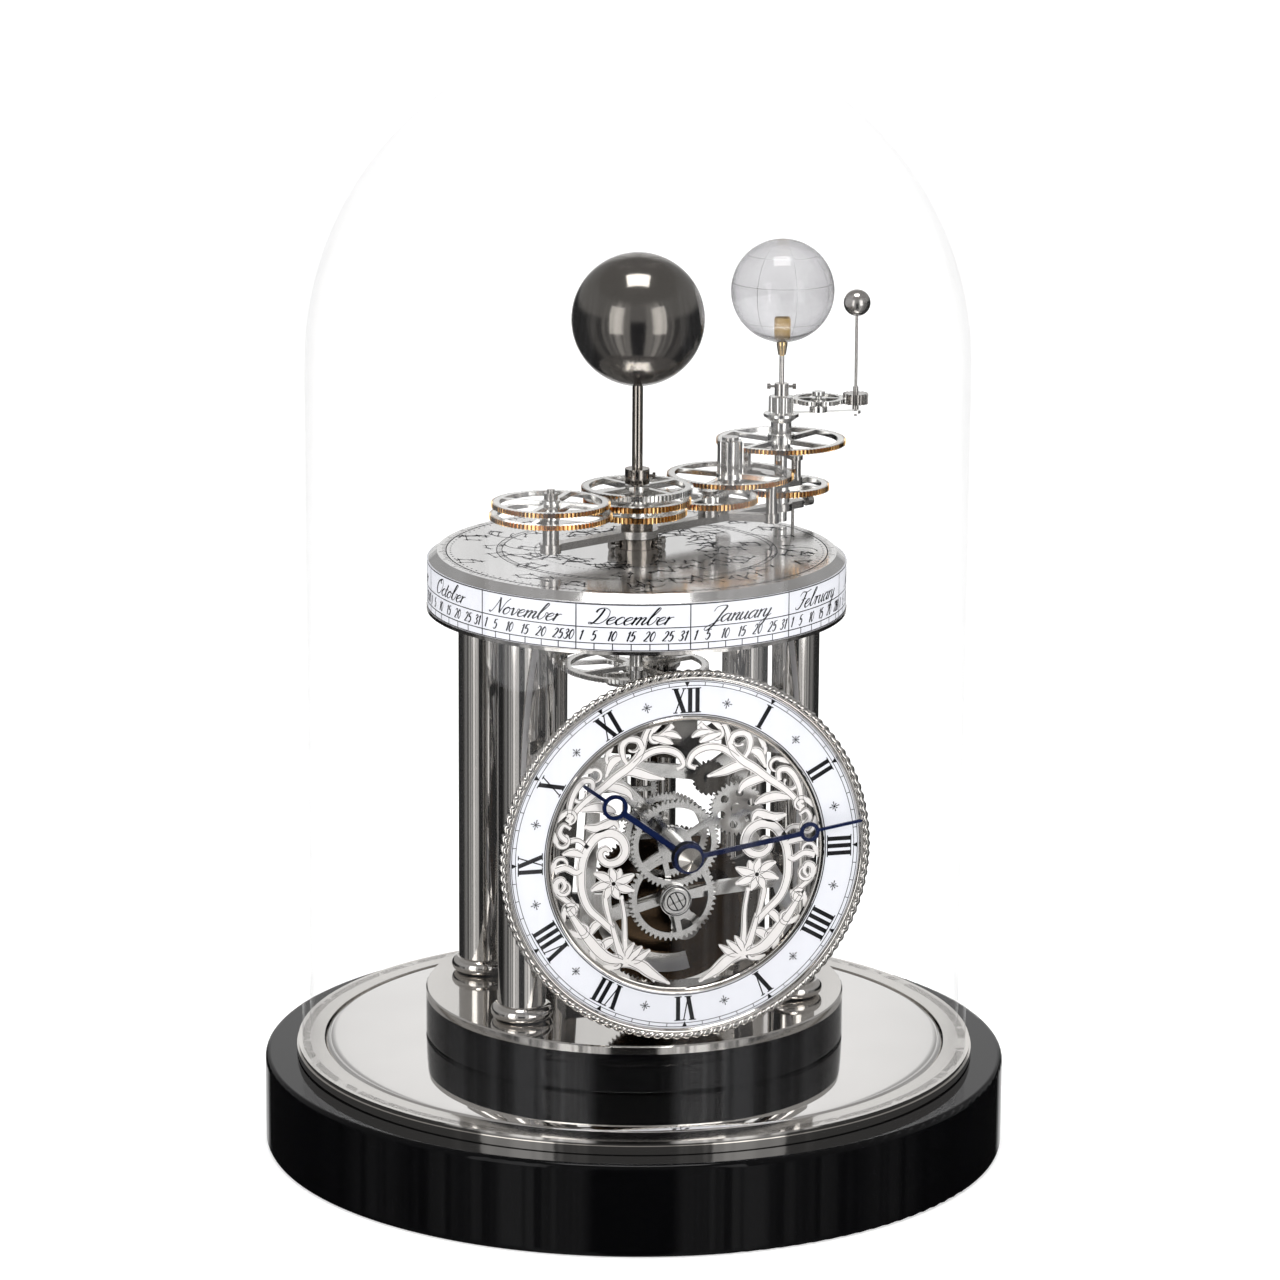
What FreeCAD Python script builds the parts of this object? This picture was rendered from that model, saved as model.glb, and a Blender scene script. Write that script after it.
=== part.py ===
"""Glass-domed orrery clock: a sun, earth and moon model driven over a skeleton clock.

Millimetres, +Z up, origin at the centre of the base's underside, dial facing -Y.
"""
import FreeCAD
import Part
import math
import os

# ---------------------------------------------------------------- driving sizes
BASE_RADIUS = 140.0
BASE_HEIGHT = 34.8
SEAT_RADIUS = 128.0
SEAT_TOP = 39.6
MIRROR_RADIUS = 117.2
MIRROR_TOP = 41.0
DOME_RADIUS = 126.0
DOME_WALL = 3.0
OVERALL_HEIGHT = 424.5

DRUM_RADIUS = 79.0
DRUM_TOP = 56.3
DECK_TOP = 59.5
RING_BOTTOM = 206.2
RING_TOP = 224.8
RING_RADIUS = 77.6
BAND_THICKNESS = 0.5
CHART_RADIUS = 74.4
CHART_TOP = 227.9
HUB_TOP = 240.8
HUB_RADIUS = 5.9

COLUMN_RADIUS = 8.85
COLUMN_CIRCLE = 60.5
COLUMN_ANGLES = (212.0, 334.0, 32.0, 150.0, 111.0, 69.0)

DIAL_HEIGHT = 130.0
DIAL_FRONT = 74.0
DIAL_OUTER = 67.6
DIAL_INNER = 53.2
BEZEL_RADIUS = 69.6
HOURS = 10.0
MINUTES = 13.5

MODULE = 0.5
RUNNING = 0.05
FREE = 0.35

# sun-earth-moon gearing: teeth and positions along the year arm
ARM_ANGLE = 26.8
FIXED_TEETH = 73
IDLER_TEETH = 72
INPUT_TEETH = 79
SILVER_TEETH = 82
REDUCTION_LOWER_TEETH = 89
REDUCTION_UPPER_TEETH = 86
MOON_DRIVE_TEETH = 94
LONG_PINION_TEETH = 18
CARRIER_TEETH = 97
EARTH_PINION_TEETH = 18
MOON_IDLER_TEETH = 40
MOON_ANGLE = -29.3
IDLER_OUT = MODULE * (FIXED_TEETH + IDLER_TEETH) / 2
EARTH_OUT = IDLER_OUT * 2
REDUCTION_OUT = -MODULE * (INPUT_TEETH + REDUCTION_LOWER_TEETH) / 2
MOON_ARM = MODULE * (EARTH_PINION_TEETH + MOON_IDLER_TEETH)

ARM_BOTTOM = 233.2
ARM_TOP = 236.0
FIXED_LEVEL = 241.4
INPUT_LEVEL = 245.6
SILVER_LEVEL = 250.0
WHEEL_THICKNESS = 2.2
THIN_WHEEL = 1.8
BRIDGE_LEVEL = 246.0
UPPER_BRIDGE_LEVEL = 255.6
CARRIER_LEVEL = 259.2
MOON_ARM_LEVEL = 269.7
MOON_GEAR_LEVEL = 274.6
SUN_HEIGHT = 314.8
SUN_RADIUS = 24.7
EARTH_HEIGHT = 317.7
EARTH_RADIUS = 19.6
MOON_HEIGHT = 312.2
MOON_RADIUS = 5.1
STEM_RADIUS = 0.95
STEM_FOOT = 238.4
STEM_TOP = 292.0
SUN_STEM_RADIUS = 2.0
FLANGE_RADIUS = 3.4
COLLAR_LEVEL = 253.2
COLLAR_TOP = 258.8
EARTH_STEM_FOOT = 229.0
EARTH_STEM_TOP = 300.0
FERRULE_TOP = 299.4
LONG_PINION_TOP = 264.2
EARTH_PINION_LEVEL = 271.3
EARTH_PINION_TOP = 277.2
MOON_PINION_LEVEL = 273.4
MOON_PINION_TOP = 277.4
MOON_STEM_RADIUS = 0.55
POST_SPREAD = (55.5, 13.5)
PILLAR_SPREAD = (67.5, 14.0)

# clock gearing
MOTION_SPACING = 21.0
CANNON_TEETH = 15
MINUTE_TEETH = 50
MINUTE_PINION_TEETH = 15
HOUR_TEETH = 54
TAKE_OFF_TEETH = 32
TAKE_OFF_PINION_TEETH = 20
CENTRE_TEETH = 64
THIRD_PINION_TEETH = 10
GREAT_TEETH = 100
CENTRE_PINION_TEETH = 12
BARREL_MODULE = 0.6
BEVEL_TEETH = 16
TRANSFER_TEETH = 96
DRIVE_TEETH = 108
DRIVE_PINION_TEETH = 12
MOTION_MODULE = 2 * MOTION_SPACING / (CANNON_TEETH + MINUTE_TEETH)
HOUR_MODULE = 2 * MOTION_SPACING / (MINUTE_PINION_TEETH + HOUR_TEETH)

# depths in the movement, measured forward from the clock's centre line
BACK_PLATE = 18.0
FRONT_PLATE = 50.0
PLATE = 2.5
SHELF_LEVEL = 169.0
ARBOR = 1.5
PIPE_BORE = 2.3
STUD = 1.2
FINE_ARBOR = 1.0

CENTRE = (0.0, DIAL_HEIGHT)
PILLARS = ((-32.0, 100.0), (41.0, 112.0), (30.0, 165.0), (-28.0, 160.0))
DIAL_FEET = ((-45.9, 97.9), (45.9, 97.9), (45.9, 162.1), (-45.9, 162.1))
TRANSFER_ARBOR = (0.0, MODULE * (DRIVE_TEETH + DRIVE_PINION_TEETH) / 2)

Z_AXIS = FreeCAD.Vector(0, 0, 1)
X_AXIS = FreeCAD.Vector(1, 0, 0)
ORIGIN = FreeCAD.Vector(0, 0, 0)


# ---------------------------------------------------------------- small helpers
def save(name, shape):
    """Write one named sub-part."""
    shape.exportStep(f"parts/{name}.step")


def polar(radius, degrees):
    """Point at a radius and angle."""
    angle = math.radians(degrees)
    return (radius * math.cos(angle), radius * math.sin(angle))


def along(start, distance, degrees):
    """Point at a distance and direction from another point."""
    step = polar(distance, degrees)
    return (start[0] + step[0], start[1] + step[1])


def direction(start, end):
    """Angle of the line between two points, in degrees."""
    return math.degrees(math.atan2(end[1] - start[1], end[0] - start[0]))


def rod(radius, low, high, at=(0.0, 0.0)):
    """Upright round bar between two heights."""
    return Part.makeCylinder(radius, high - low, FreeCAD.Vector(at[0], at[1], low))


def tube(outer, inner, low, high, at=(0.0, 0.0)):
    """Upright tube between two heights."""
    return rod(outer, low, high, at).cut(rod(inner, low - 1, high + 1, at))


def stack(sections, at=(0.0, 0.0)):
    """Turned piece from (radius, low, high) steps on one axis."""
    pieces = [rod(radius, low, high, at) for radius, low, high in sections]
    return pieces[0].multiFuse(pieces[1:]).removeSplitter()


def turned(profile, at=(0.0, 0.0)):
    """Turned piece from a closed (radius, height) outline of straight lines."""
    points = [FreeCAD.Vector(radius, 0, height) for radius, height in profile]
    face = Part.Face(Part.makePolygon(points + points[:1]))
    solid = face.revolve(ORIGIN, Z_AXIS, 360)
    solid.translate(FreeCAD.Vector(at[0], at[1], 0))
    return solid


def fused(pieces):
    """Join pieces into one clean solid."""
    return pieces[0].multiFuse(pieces[1:]).removeSplitter()


def bar(start, end, width, low, high):
    """Flat bar with round ends between two points."""
    length = math.hypot(end[0] - start[0], end[1] - start[1])
    middle = Part.makeBox(length, width, high - low, FreeCAD.Vector(0, -width / 2, low))
    middle.rotate(ORIGIN, Z_AXIS, direction(start, end))
    middle.translate(FreeCAD.Vector(start[0], start[1], 0))
    return fused([middle, rod(width / 2, low, high, start), rod(width / 2, low, high, end)])


def arc_band(centre, radius, width, start, end, low, high):
    """Flat curved strip on part of a circle."""
    band = Part.makeCylinder(radius + width / 2, high - low, ORIGIN, Z_AXIS, end - start)
    band = band.cut(rod(radius - width / 2, -1, high - low + 1))
    band.rotate(ORIGIN, Z_AXIS, start)
    band.translate(FreeCAD.Vector(centre[0], centre[1], low))
    return band


def move_to_clock(shape):
    """Stand a flat-built piece up so that its height becomes depth towards the dial."""
    shape.rotate(ORIGIN, X_AXIS, 90)
    return shape


def move_to_arm(shape):
    """Turn a piece built along +X to the year arm's direction."""
    shape.rotate(ORIGIN, Z_AXIS, ARM_ANGLE)
    return shape


def save_clock(name, shape):
    """Write a piece of the clock."""
    save(name, move_to_clock(shape))


def save_on_arm(name, shape):
    """Write a piece built in the year arm's own axes."""
    save(name, move_to_arm(shape))


# ---------------------------------------------------------------- gears
def gear_blank(teeth, module, phase, scale=1.0):
    """Outline of a gear with straight-flanked teeth, thinned for running backlash."""
    pitch_radius = teeth * module / 2
    half_tooth = 0.21 * math.pi * module
    tip = 0.78 * module
    root = 1.1 * module
    slope = math.tan(math.radians(20))
    points = []
    for tooth in range(teeth):
        middle = math.radians(phase) + 2 * math.pi * tooth / teeth
        for reach, side in ((-root, -1), (tip, -1), (tip, 1), (-root, 1)):
            radius = pitch_radius + reach
            angle = middle + side * (half_tooth - reach * slope) / radius
            place = polar(radius * scale, math.degrees(angle))
            points.append(FreeCAD.Vector(place[0], place[1], 0))
    return Part.makePolygon(points + points[:1])


def toothed(teeth, module, phase, low, high, at=(0.0, 0.0)):
    """Solid toothed disc."""
    disc = Part.Face(gear_blank(teeth, module, phase)).extrude(FreeCAD.Vector(0, 0, high - low))
    disc.translate(FreeCAD.Vector(at[0], at[1], low))
    return disc


def wheel(teeth, module, phase, low, high, at, hub, spokes, rim=2.6, turn=0.0):
    """Toothed wheel crossed out to a rim, a hub and spokes."""
    disc = toothed(teeth, module, phase, low, high, at)
    inner = teeth * module / 2 - rim
    opened = disc.cut(tube(inner, hub, low - 1, high + 1, at))
    parts = [opened.Solids[0], rod(hub, low, high, at)]
    for number in range(spokes):
        reach = along(at, inner + rim / 3, turn + 360 * number / spokes)
        parts.append(bar(at, reach, rim * 0.8, low, high))
    return fused(parts)


def in_mesh(phase, teeth, next_teeth, heading):
    """Phase that puts the next gear's gap on this gear's tooth, along a heading."""
    return heading + 180 + (heading - phase) * teeth / next_teeth + 180 / next_teeth


def bored(shape, radius, at=(0.0, 0.0)):
    """Cut a round hole on an upright axis right through a piece."""
    return shape.cut(rod(radius, -200, 600, at))


# ---------------------------------------------------------------- case
def make_base():
    """Lacquered plinth, dome seat and mirror plate."""
    plinth = rod(BASE_RADIUS, 0, BASE_HEIGHT)
    save("base_plinth", plinth.makeFillet(2.0, [plinth.Edges[0], plinth.Edges[2]]))
    step = SEAT_TOP - 1.8
    seat = turned([(MIRROR_RADIUS + FREE, BASE_HEIGHT), (SEAT_RADIUS - 0.8, BASE_HEIGHT),
                   (SEAT_RADIUS - 0.8, BASE_HEIGHT + 0.6), (SEAT_RADIUS, BASE_HEIGHT + 0.6),
                   (SEAT_RADIUS, step), (SEAT_RADIUS - 0.5, step), (SEAT_RADIUS - 0.5, SEAT_TOP),
                   (MIRROR_RADIUS + FREE, SEAT_TOP)])
    save("dome_seat_ring", seat)
    save("mirror_plate", rod(MIRROR_RADIUS, BASE_HEIGHT, MIRROR_TOP))


def make_dome():
    """Lift-off glass dome: a cylinder with a half-sphere top, open below."""
    spring_line = OVERALL_HEIGHT - DOME_RADIUS
    outside = fused([rod(DOME_RADIUS, SEAT_TOP, spring_line),
                     Part.makeSphere(DOME_RADIUS, FreeCAD.Vector(0, 0, spring_line))
                     .common(rod(DOME_RADIUS + 1, spring_line - 1, OVERALL_HEIGHT + 1))])
    inner = DOME_RADIUS - DOME_WALL
    inside = fused([rod(inner, SEAT_TOP - 1, spring_line),
                    Part.makeSphere(inner, FreeCAD.Vector(0, 0, spring_line))
                    .common(rod(inner + 1, spring_line - 1, OVERALL_HEIGHT))])
    save("glass_dome", outside.cut(inside))


def make_drum():
    """Black drum and its polished deck."""
    drum = rod(DRUM_RADIUS, MIRROR_TOP, DRUM_TOP)
    save("drum_base", drum.makeFillet(1.5, [drum.Edges[2]]))
    deck = rod(DRUM_RADIUS, DRUM_TOP, DECK_TOP)
    save("drum_deck", deck.makeChamfer(0.5, [deck.Edges[0]]))


def make_columns():
    """Six columns with a bead at the foot, leaving the front open for the movement."""
    bead_radius = 3.0
    for number, angle in enumerate(COLUMN_ANGLES, start=1):
        place = polar(COLUMN_CIRCLE, angle)
        bead = Part.makeTorus(COLUMN_RADIUS - 0.3, bead_radius,
                              FreeCAD.Vector(place[0], place[1], DECK_TOP + bead_radius))
        column = fused([rod(COLUMN_RADIUS, DECK_TOP, RING_BOTTOM, place), bead])
        save(f"column_{number}", column)


def make_calendar_ring():
    """Shallow cup that carries the month band outside and the star chart on top."""
    floor = 3.0
    lip_edge = RING_RADIUS + BAND_THICKNESS + 0.3
    lip_top = RING_BOTTOM + 1.2
    lip = turned([(RING_RADIUS - 3, RING_BOTTOM), (lip_edge, RING_BOTTOM), (lip_edge, lip_top),
                  (RING_RADIUS - 3, lip_top)])
    cup = tube(RING_RADIUS, RING_RADIUS - 3.6, RING_BOTTOM, RING_TOP)
    bottom = bored(rod(RING_RADIUS - 1, RING_BOTTOM, RING_BOTTOM + floor), ARBOR + 1.0 + RUNNING)
    bottom = bored(bottom, 1.0 + RUNNING, TRANSFER_ARBOR)
    save("calendar_ring", fused([cup, bottom, lip]))
    save("calendar_band", tube(RING_RADIUS + BAND_THICKNESS, RING_RADIUS, RING_BOTTOM + 1.4, RING_TOP))
    chart = turned([(0, RING_TOP - 3), (RING_RADIUS - 3.6, RING_TOP - 3), (RING_RADIUS - 3.6, RING_TOP),
                    (RING_RADIUS, RING_TOP), (RING_RADIUS, RING_TOP + 0.3), (CHART_RADIUS, CHART_TOP),
                    (0, CHART_TOP)])
    save("star_chart_plate", bored(chart, ARBOR + 1.0 + RUNNING))


# ---------------------------------------------------------------- dial and hands
def make_dial():
    """Chapter ring, bezel, inner rim and pierced fretwork."""
    back = DIAL_FRONT - 1.5
    plate = tube(DIAL_OUTER, DIAL_INNER, back, DIAL_FRONT, CENTRE)
    save_clock("dial_plate", plate)
    bezel = turned([(DIAL_OUTER, back - 1), (BEZEL_RADIUS - 0.8, back - 1), (BEZEL_RADIUS, back + 0.6),
                    (BEZEL_RADIUS, DIAL_FRONT + 1), (BEZEL_RADIUS - 1.2, DIAL_FRONT + 2.6),
                    (DIAL_OUTER - 1, DIAL_FRONT + 0.6), (DIAL_OUTER - 1, DIAL_FRONT),
                    (DIAL_OUTER, DIAL_FRONT)], CENTRE)
    save_clock("dial_bezel", bezel)
    rim = turned([(DIAL_INNER - 1.6, back), (DIAL_INNER, back), (DIAL_INNER, DIAL_FRONT),
                  (DIAL_INNER + 0.6, DIAL_FRONT), (DIAL_INNER - 0.2, DIAL_FRONT + 0.9),
                  (DIAL_INNER - 1.6, DIAL_FRONT)], CENTRE)
    save_clock("dial_inner_rim", rim)
    save_clock("dial_fretwork", fretwork(back, back + 1.2))


def fretwork(low, high):
    """Two mirrored crescents of pierced scrollwork that meet at the top."""
    outer = DIAL_INNER - 1.6
    half = arc_band(CENTRE, outer - 3.6, 7.2, -62, 89, low, high)
    scrolls = [half]
    for angle, size in ((-48, 7.5), (-26, 9.5), (0, 11.0), (27, 10.0), (52, 8.5), (74, 8.0)):
        middle = along(CENTRE, outer - 6.0 - size, angle)
        scrolls.append(tube(size, size - 2.6, low, high, middle))
        scrolls.append(bar(middle, along(CENTRE, outer - 4, angle + 12), 2.6, low, high))
    right = fused(scrolls)
    left = right.mirror(ORIGIN, X_AXIS)
    top_tie = arc_band(CENTRE, outer - 3.6, 7.2, 85, 95, low, high)
    inside = rod(outer, low - 1, high + 1, CENTRE)
    return fused([right, left, top_tie]).common(inside)


def hand(length, ring_at, ring_radius, width, hub, low, high, heading):
    """Straight hand with a ring set into it, pointing along a heading."""
    eye = along(CENTRE, ring_at, heading)
    near = along(CENTRE, ring_at - ring_radius + 0.5, heading)
    far = along(CENTRE, ring_at + ring_radius - 0.5, heading)
    tip = along(CENTRE, length - width / 4, heading)
    pieces = [rod(hub, low, high, CENTRE), bar(CENTRE, near, width, low, high),
              tube(ring_radius, ring_radius - 1.4, low, high, eye), bar(far, tip, width * 0.6, low, high)]
    return fused(pieces)


def make_hands():
    """Blued hands and the turned cap that holds them."""
    hour_level = DIAL_FRONT + 2.0
    minute_level = DIAL_FRONT + 4.0
    minute_heading = 90 - 6 * MINUTES
    hour_heading = 90 - 30 * (HOURS + MINUTES / 60)
    hour = hand(48.5, 34.0, 4.7, 2.2, 6.1, hour_level, hour_level + 0.9, hour_heading)
    save_clock("hour_hand", bored(hour, PIPE_BORE + 1.0, CENTRE))
    minute = hand(66.0, 46.0, 3.7, 1.8, 5.6, minute_level, minute_level + 0.9, minute_heading)
    save_clock("minute_hand", bored(minute, PIPE_BORE - RUNNING, CENTRE))
    base = minute_level + 0.9
    cap = turned([(0, base), (4.4, base), (4.4, base + 1.4), (0, base + 4.2)], CENTRE)
    save_clock("hand_cap", cap)


# ---------------------------------------------------------------- movement
def skeleton_plate(low, links, bosses):
    """Open plate made of bars between bosses."""
    high = low + PLATE
    pieces = [bar(start, end, 5.0, low, high) for start, end in links]
    pieces += [rod(radius, low, high, place) for place, radius in bosses]
    return pieces


def clock_layout():
    """Places of the movement's arbors, seen from the front."""
    take_off = along(CENTRE, HOUR_MODULE * (HOUR_TEETH + TAKE_OFF_TEETH) / 2, 27.4)
    return {
        "minute": along(CENTRE, MOTION_SPACING, -90),
        "take_off": take_off,
        "pinion": along(take_off, HOUR_MODULE * (TAKE_OFF_TEETH + TAKE_OFF_PINION_TEETH) / 2, 129.6),
        "barrel": along(CENTRE, BARREL_MODULE * (GREAT_TEETH + CENTRE_PINION_TEETH) / 2, -80),
        "third": along(CENTRE, MODULE * (CENTRE_TEETH + THIRD_PINION_TEETH) / 2, 130),
    }


def make_plates(place):
    """Front plate with the dial's feet, back plate with its foot, and the pillars between."""
    lower_left, lower_right, upper_right, upper_left = PILLARS
    front = skeleton_plate(
        FRONT_PLATE,
        [(lower_left, place["minute"]), (lower_right, place["minute"]), (upper_right, place["take_off"]),
         (place["take_off"], lower_right), (upper_left, place["third"]), (place["third"], CENTRE),
         (lower_left, upper_left), (upper_left, place["pinion"]), (place["pinion"], upper_right)]
        + list(zip(PILLARS, DIAL_FEET)),
        [(place["barrel"], 5.5), (place["minute"], 5.0), (CENTRE, 5.0)])
    front.append(arc_band(place["minute"], 26.0, 7.0, 176, 285, FRONT_PLATE, FRONT_PLATE + PLATE))
    front.append(bar(place["minute"], place["barrel"], 8.0, FRONT_PLATE, FRONT_PLATE + PLATE))
    front += [rod(2.2, FRONT_PLATE, DIAL_FRONT - 1.5, spot) for spot in DIAL_FEET]
    foot_left = (-30.0, DECK_TOP + 4)
    foot_right = (38.0, DECK_TOP + 4)
    back = skeleton_plate(
        BACK_PLATE,
        [(lower_left, foot_left), (lower_right, foot_right), (lower_left, place["barrel"]),
         (place["barrel"], lower_right), (lower_right, upper_right), (lower_left, upper_left),
         (upper_left, place["third"]), (place["third"], CENTRE), (CENTRE, place["barrel"]),
         (upper_left, place["pinion"]), (place["pinion"], upper_right)],
        [(place["barrel"], 6.5), (CENTRE, 5.0)])
    foot = Part.makeBox(73, 4, 14, FreeCAD.Vector(-33, DECK_TOP, BACK_PLATE - 6))
    bores = ((CENTRE, ARBOR), (place["barrel"], 2.5), (place["third"], 1.0), (place["pinion"], ARBOR))
    front_solid = fused(front)
    back_solid = fused(back + [foot])
    for spot, radius in bores:
        front_solid = bored(front_solid, radius + RUNNING, spot)
        back_solid = bored(back_solid, radius + RUNNING, spot)
    for spot in (place["minute"], place["take_off"]):
        front_solid = bored(front_solid, STUD + RUNNING, spot)
    save_clock("movement_front_plate", front_solid)
    save_clock("movement_back_plate", back_solid)
    pillars = [rod(2.5, BACK_PLATE + PLATE, FRONT_PLATE, spot) for spot in PILLARS]
    save_clock("movement_pillars", Part.makeCompound(pillars))


def make_motion_work(place):
    """Centre arbor with its pinions, hour wheel on a pipe, minute wheel and the orrery take-off."""
    cannon_phase = 0.0
    minute_phase = in_mesh(cannon_phase, CANNON_TEETH, MINUTE_TEETH, -90)
    pinion_phase = 90.0
    hour_phase = in_mesh(pinion_phase, MINUTE_PINION_TEETH, HOUR_TEETH, 90)
    take_off_heading = direction(CENTRE, place["take_off"])
    take_off_phase = in_mesh(hour_phase, HOUR_TEETH, TAKE_OFF_TEETH, take_off_heading)
    pinion_heading = direction(place["take_off"], place["pinion"])
    last_phase = in_mesh(take_off_phase, TAKE_OFF_TEETH, TAKE_OFF_PINION_TEETH, pinion_heading)

    arbor = [stack([(ARBOR, BACK_PLATE - 4, 53.4), (PIPE_BORE - RUNNING, 53.2, DIAL_FRONT + 4.9)], CENTRE),
             toothed(CANNON_TEETH, MOTION_MODULE, cannon_phase, 53.4, 56.0, CENTRE),
             toothed(CENTRE_PINION_TEETH, BARREL_MODULE, 0.0, 21.3, 26.0, CENTRE),
             wheel(CENTRE_TEETH, MODULE, 0.0, 44.0, 45.6, CENTRE, 3.5, 4)]
    save_clock("centre_arbor", fused(arbor))

    hour = [wheel(HOUR_TEETH, HOUR_MODULE, hour_phase, 57.0, 58.6, CENTRE, 6.4, 4, turn=32.0),
            rod(PIPE_BORE + 1.0, 57.0, DIAL_FRONT + 2.9, CENTRE)]
    save_clock("hour_wheel", bored(fused(hour), PIPE_BORE, CENTRE))

    at = place["minute"]
    minute = [wheel(MINUTE_TEETH, MOTION_MODULE, minute_phase, 54.0, 55.6, at, 4.8, 4, turn=12.0),
              toothed(MINUTE_PINION_TEETH, HOUR_MODULE, pinion_phase, 55.6, 58.9, at),
              rod(STUD, FRONT_PLATE - 1, 58.9, at)]
    save_clock("minute_wheel", fused(minute))
    slot = Part.makeBox(7, 1.2, 1.0, FreeCAD.Vector(at[0] - 3.5, at[1] - 0.6, 60.6))
    slot.rotate(FreeCAD.Vector(at[0], at[1], 0), Z_AXIS, 20)
    save_clock("minute_wheel_cap", stack([(6.0, 58.9, 60.4), (4.6, 60.4, 61.4)], at).cut(slot))

    take_off = toothed(TAKE_OFF_TEETH, HOUR_MODULE, take_off_phase, 57.0, 58.6, place["take_off"])
    for number in range(6):
        take_off = bored(take_off, 1.5, along(place["take_off"], 6.0, 60 * number + 20))
    post = stack([(STUD, FRONT_PLATE - 1, 59.4), (2.4, 52.8, 57.0), (2.0, 58.6, 59.6)], place["take_off"])
    save_clock("take_off_wheel", fused([take_off, post]))

    bevel = bevel_gear(0.0)
    bevel.translate(FreeCAD.Vector(place["pinion"][0], place["pinion"][1], bevel_depth(place)))
    shaft = stack([(ARBOR, -14.0, 60.5), (2.2, 60.0, 61.2)], place["pinion"])
    pinion = toothed(TAKE_OFF_PINION_TEETH, HOUR_MODULE, last_phase, 56.6, 59.2, place["pinion"])
    save_clock("take_off_arbor", fused([shaft, pinion, bevel]))


def vertical_arbor_place(place):
    """Plan position of the upright arbor that rises to the transfer wheel."""
    reach = MODULE * (TRANSFER_TEETH + DRIVE_PINION_TEETH) / 2
    sideways = place["pinion"][0] - TRANSFER_ARBOR[0]
    return (place["pinion"][0], TRANSFER_ARBOR[1] - math.sqrt(reach ** 2 - sideways ** 2))


def bevel_depth(place):
    """Depth of the mitre gears' common apex."""
    return -vertical_arbor_place(place)[1]


def bevel_gear(phase):
    """Mitre gear whose pitch cone has its apex at the origin, teeth on its +Z side."""
    module = 0.7
    pitch_radius = BEVEL_TEETH * module / 2
    large = gear_blank(BEVEL_TEETH, module, phase)
    small = gear_blank(BEVEL_TEETH, module, phase, scale=0.62)
    large.translate(FreeCAD.Vector(0, 0, pitch_radius + 0.25))
    small.translate(FreeCAD.Vector(0, 0, (pitch_radius + 0.25) * 0.62))
    teeth = Part.makeLoft([small, large], True, True)
    return fused([teeth, rod(3.0, pitch_radius, pitch_radius + 3)])


def make_orrery_drive(place):
    """Upright arbor, transfer wheel and drive wheel below the calendar ring, and their bracket."""
    upright = vertical_arbor_place(place)
    height = place["pinion"][1]
    bevel = bevel_gear(180 / BEVEL_TEETH)
    bevel.translate(FreeCAD.Vector(upright[0], upright[1], height))
    phase = 0.0
    pinion = toothed(DRIVE_PINION_TEETH, MODULE, phase, 176.9, 180.2, upright)
    save("vertical_arbor", fused([bevel, rod(1.0, height + 5, 181.5, upright), pinion]))

    heading = direction(upright, TRANSFER_ARBOR)
    transfer_phase = in_mesh(phase, DRIVE_PINION_TEETH, TRANSFER_TEETH, heading)
    transfer = [wheel(TRANSFER_TEETH, MODULE, transfer_phase, 177.4, 179.0, TRANSFER_ARBOR, 4.0, 4, rim=2.4),
                toothed(DRIVE_PINION_TEETH, MODULE, 0.0, 181.4, 185.4, TRANSFER_ARBOR),
                rod(1.0, 172.0, RING_BOTTOM + 3.0, TRANSFER_ARBOR)]
    save("transfer_wheel", fused(transfer))

    heading = direction(TRANSFER_ARBOR, (0.0, 0.0))
    drive_phase = in_mesh(0.0, DRIVE_PINION_TEETH, DRIVE_TEETH, heading)
    drive = [wheel(DRIVE_TEETH, MODULE, drive_phase, 182.6, 184.2, (0.0, 0.0), 5.0, 4, rim=2.4, turn=20),
             rod(ARBOR + 1.0, 176.0, 232.0)]
    save("drive_wheel", fused(drive))

    pinion_place = place["pinion"]
    wall = upright[1] + 10.0
    left = upright[0] - 6
    top = SHELF_LEVEL + PLATE
    shelf = fused([
        Part.makeBox(12, wall + BACK_PLATE + 2, PLATE, FreeCAD.Vector(left, -BACK_PLATE, SHELF_LEVEL)),
        Part.makeBox(12, PLATE, 26, FreeCAD.Vector(left, wall, top - 26)),
        Part.makeBox(12, PLATE, 17, FreeCAD.Vector(left, -BACK_PLATE, top - 17)),
        bar((upright[0] - 1, -10.0), (0.0, 0.0), 7.0, SHELF_LEVEL, top),
        bar((upright[0] - 1, wall - 2), TRANSFER_ARBOR, 7.0, SHELF_LEVEL, top)])
    shelf = bored(shelf, FINE_ARBOR + RUNNING, upright)
    start = FreeCAD.Vector(pinion_place[0], -100, pinion_place[1])
    arbor_hole = Part.makeCylinder(ARBOR + RUNNING, 200, start, FreeCAD.Vector(0, 1, 0))
    save("drive_bracket", shelf.cut(arbor_hole))


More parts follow.
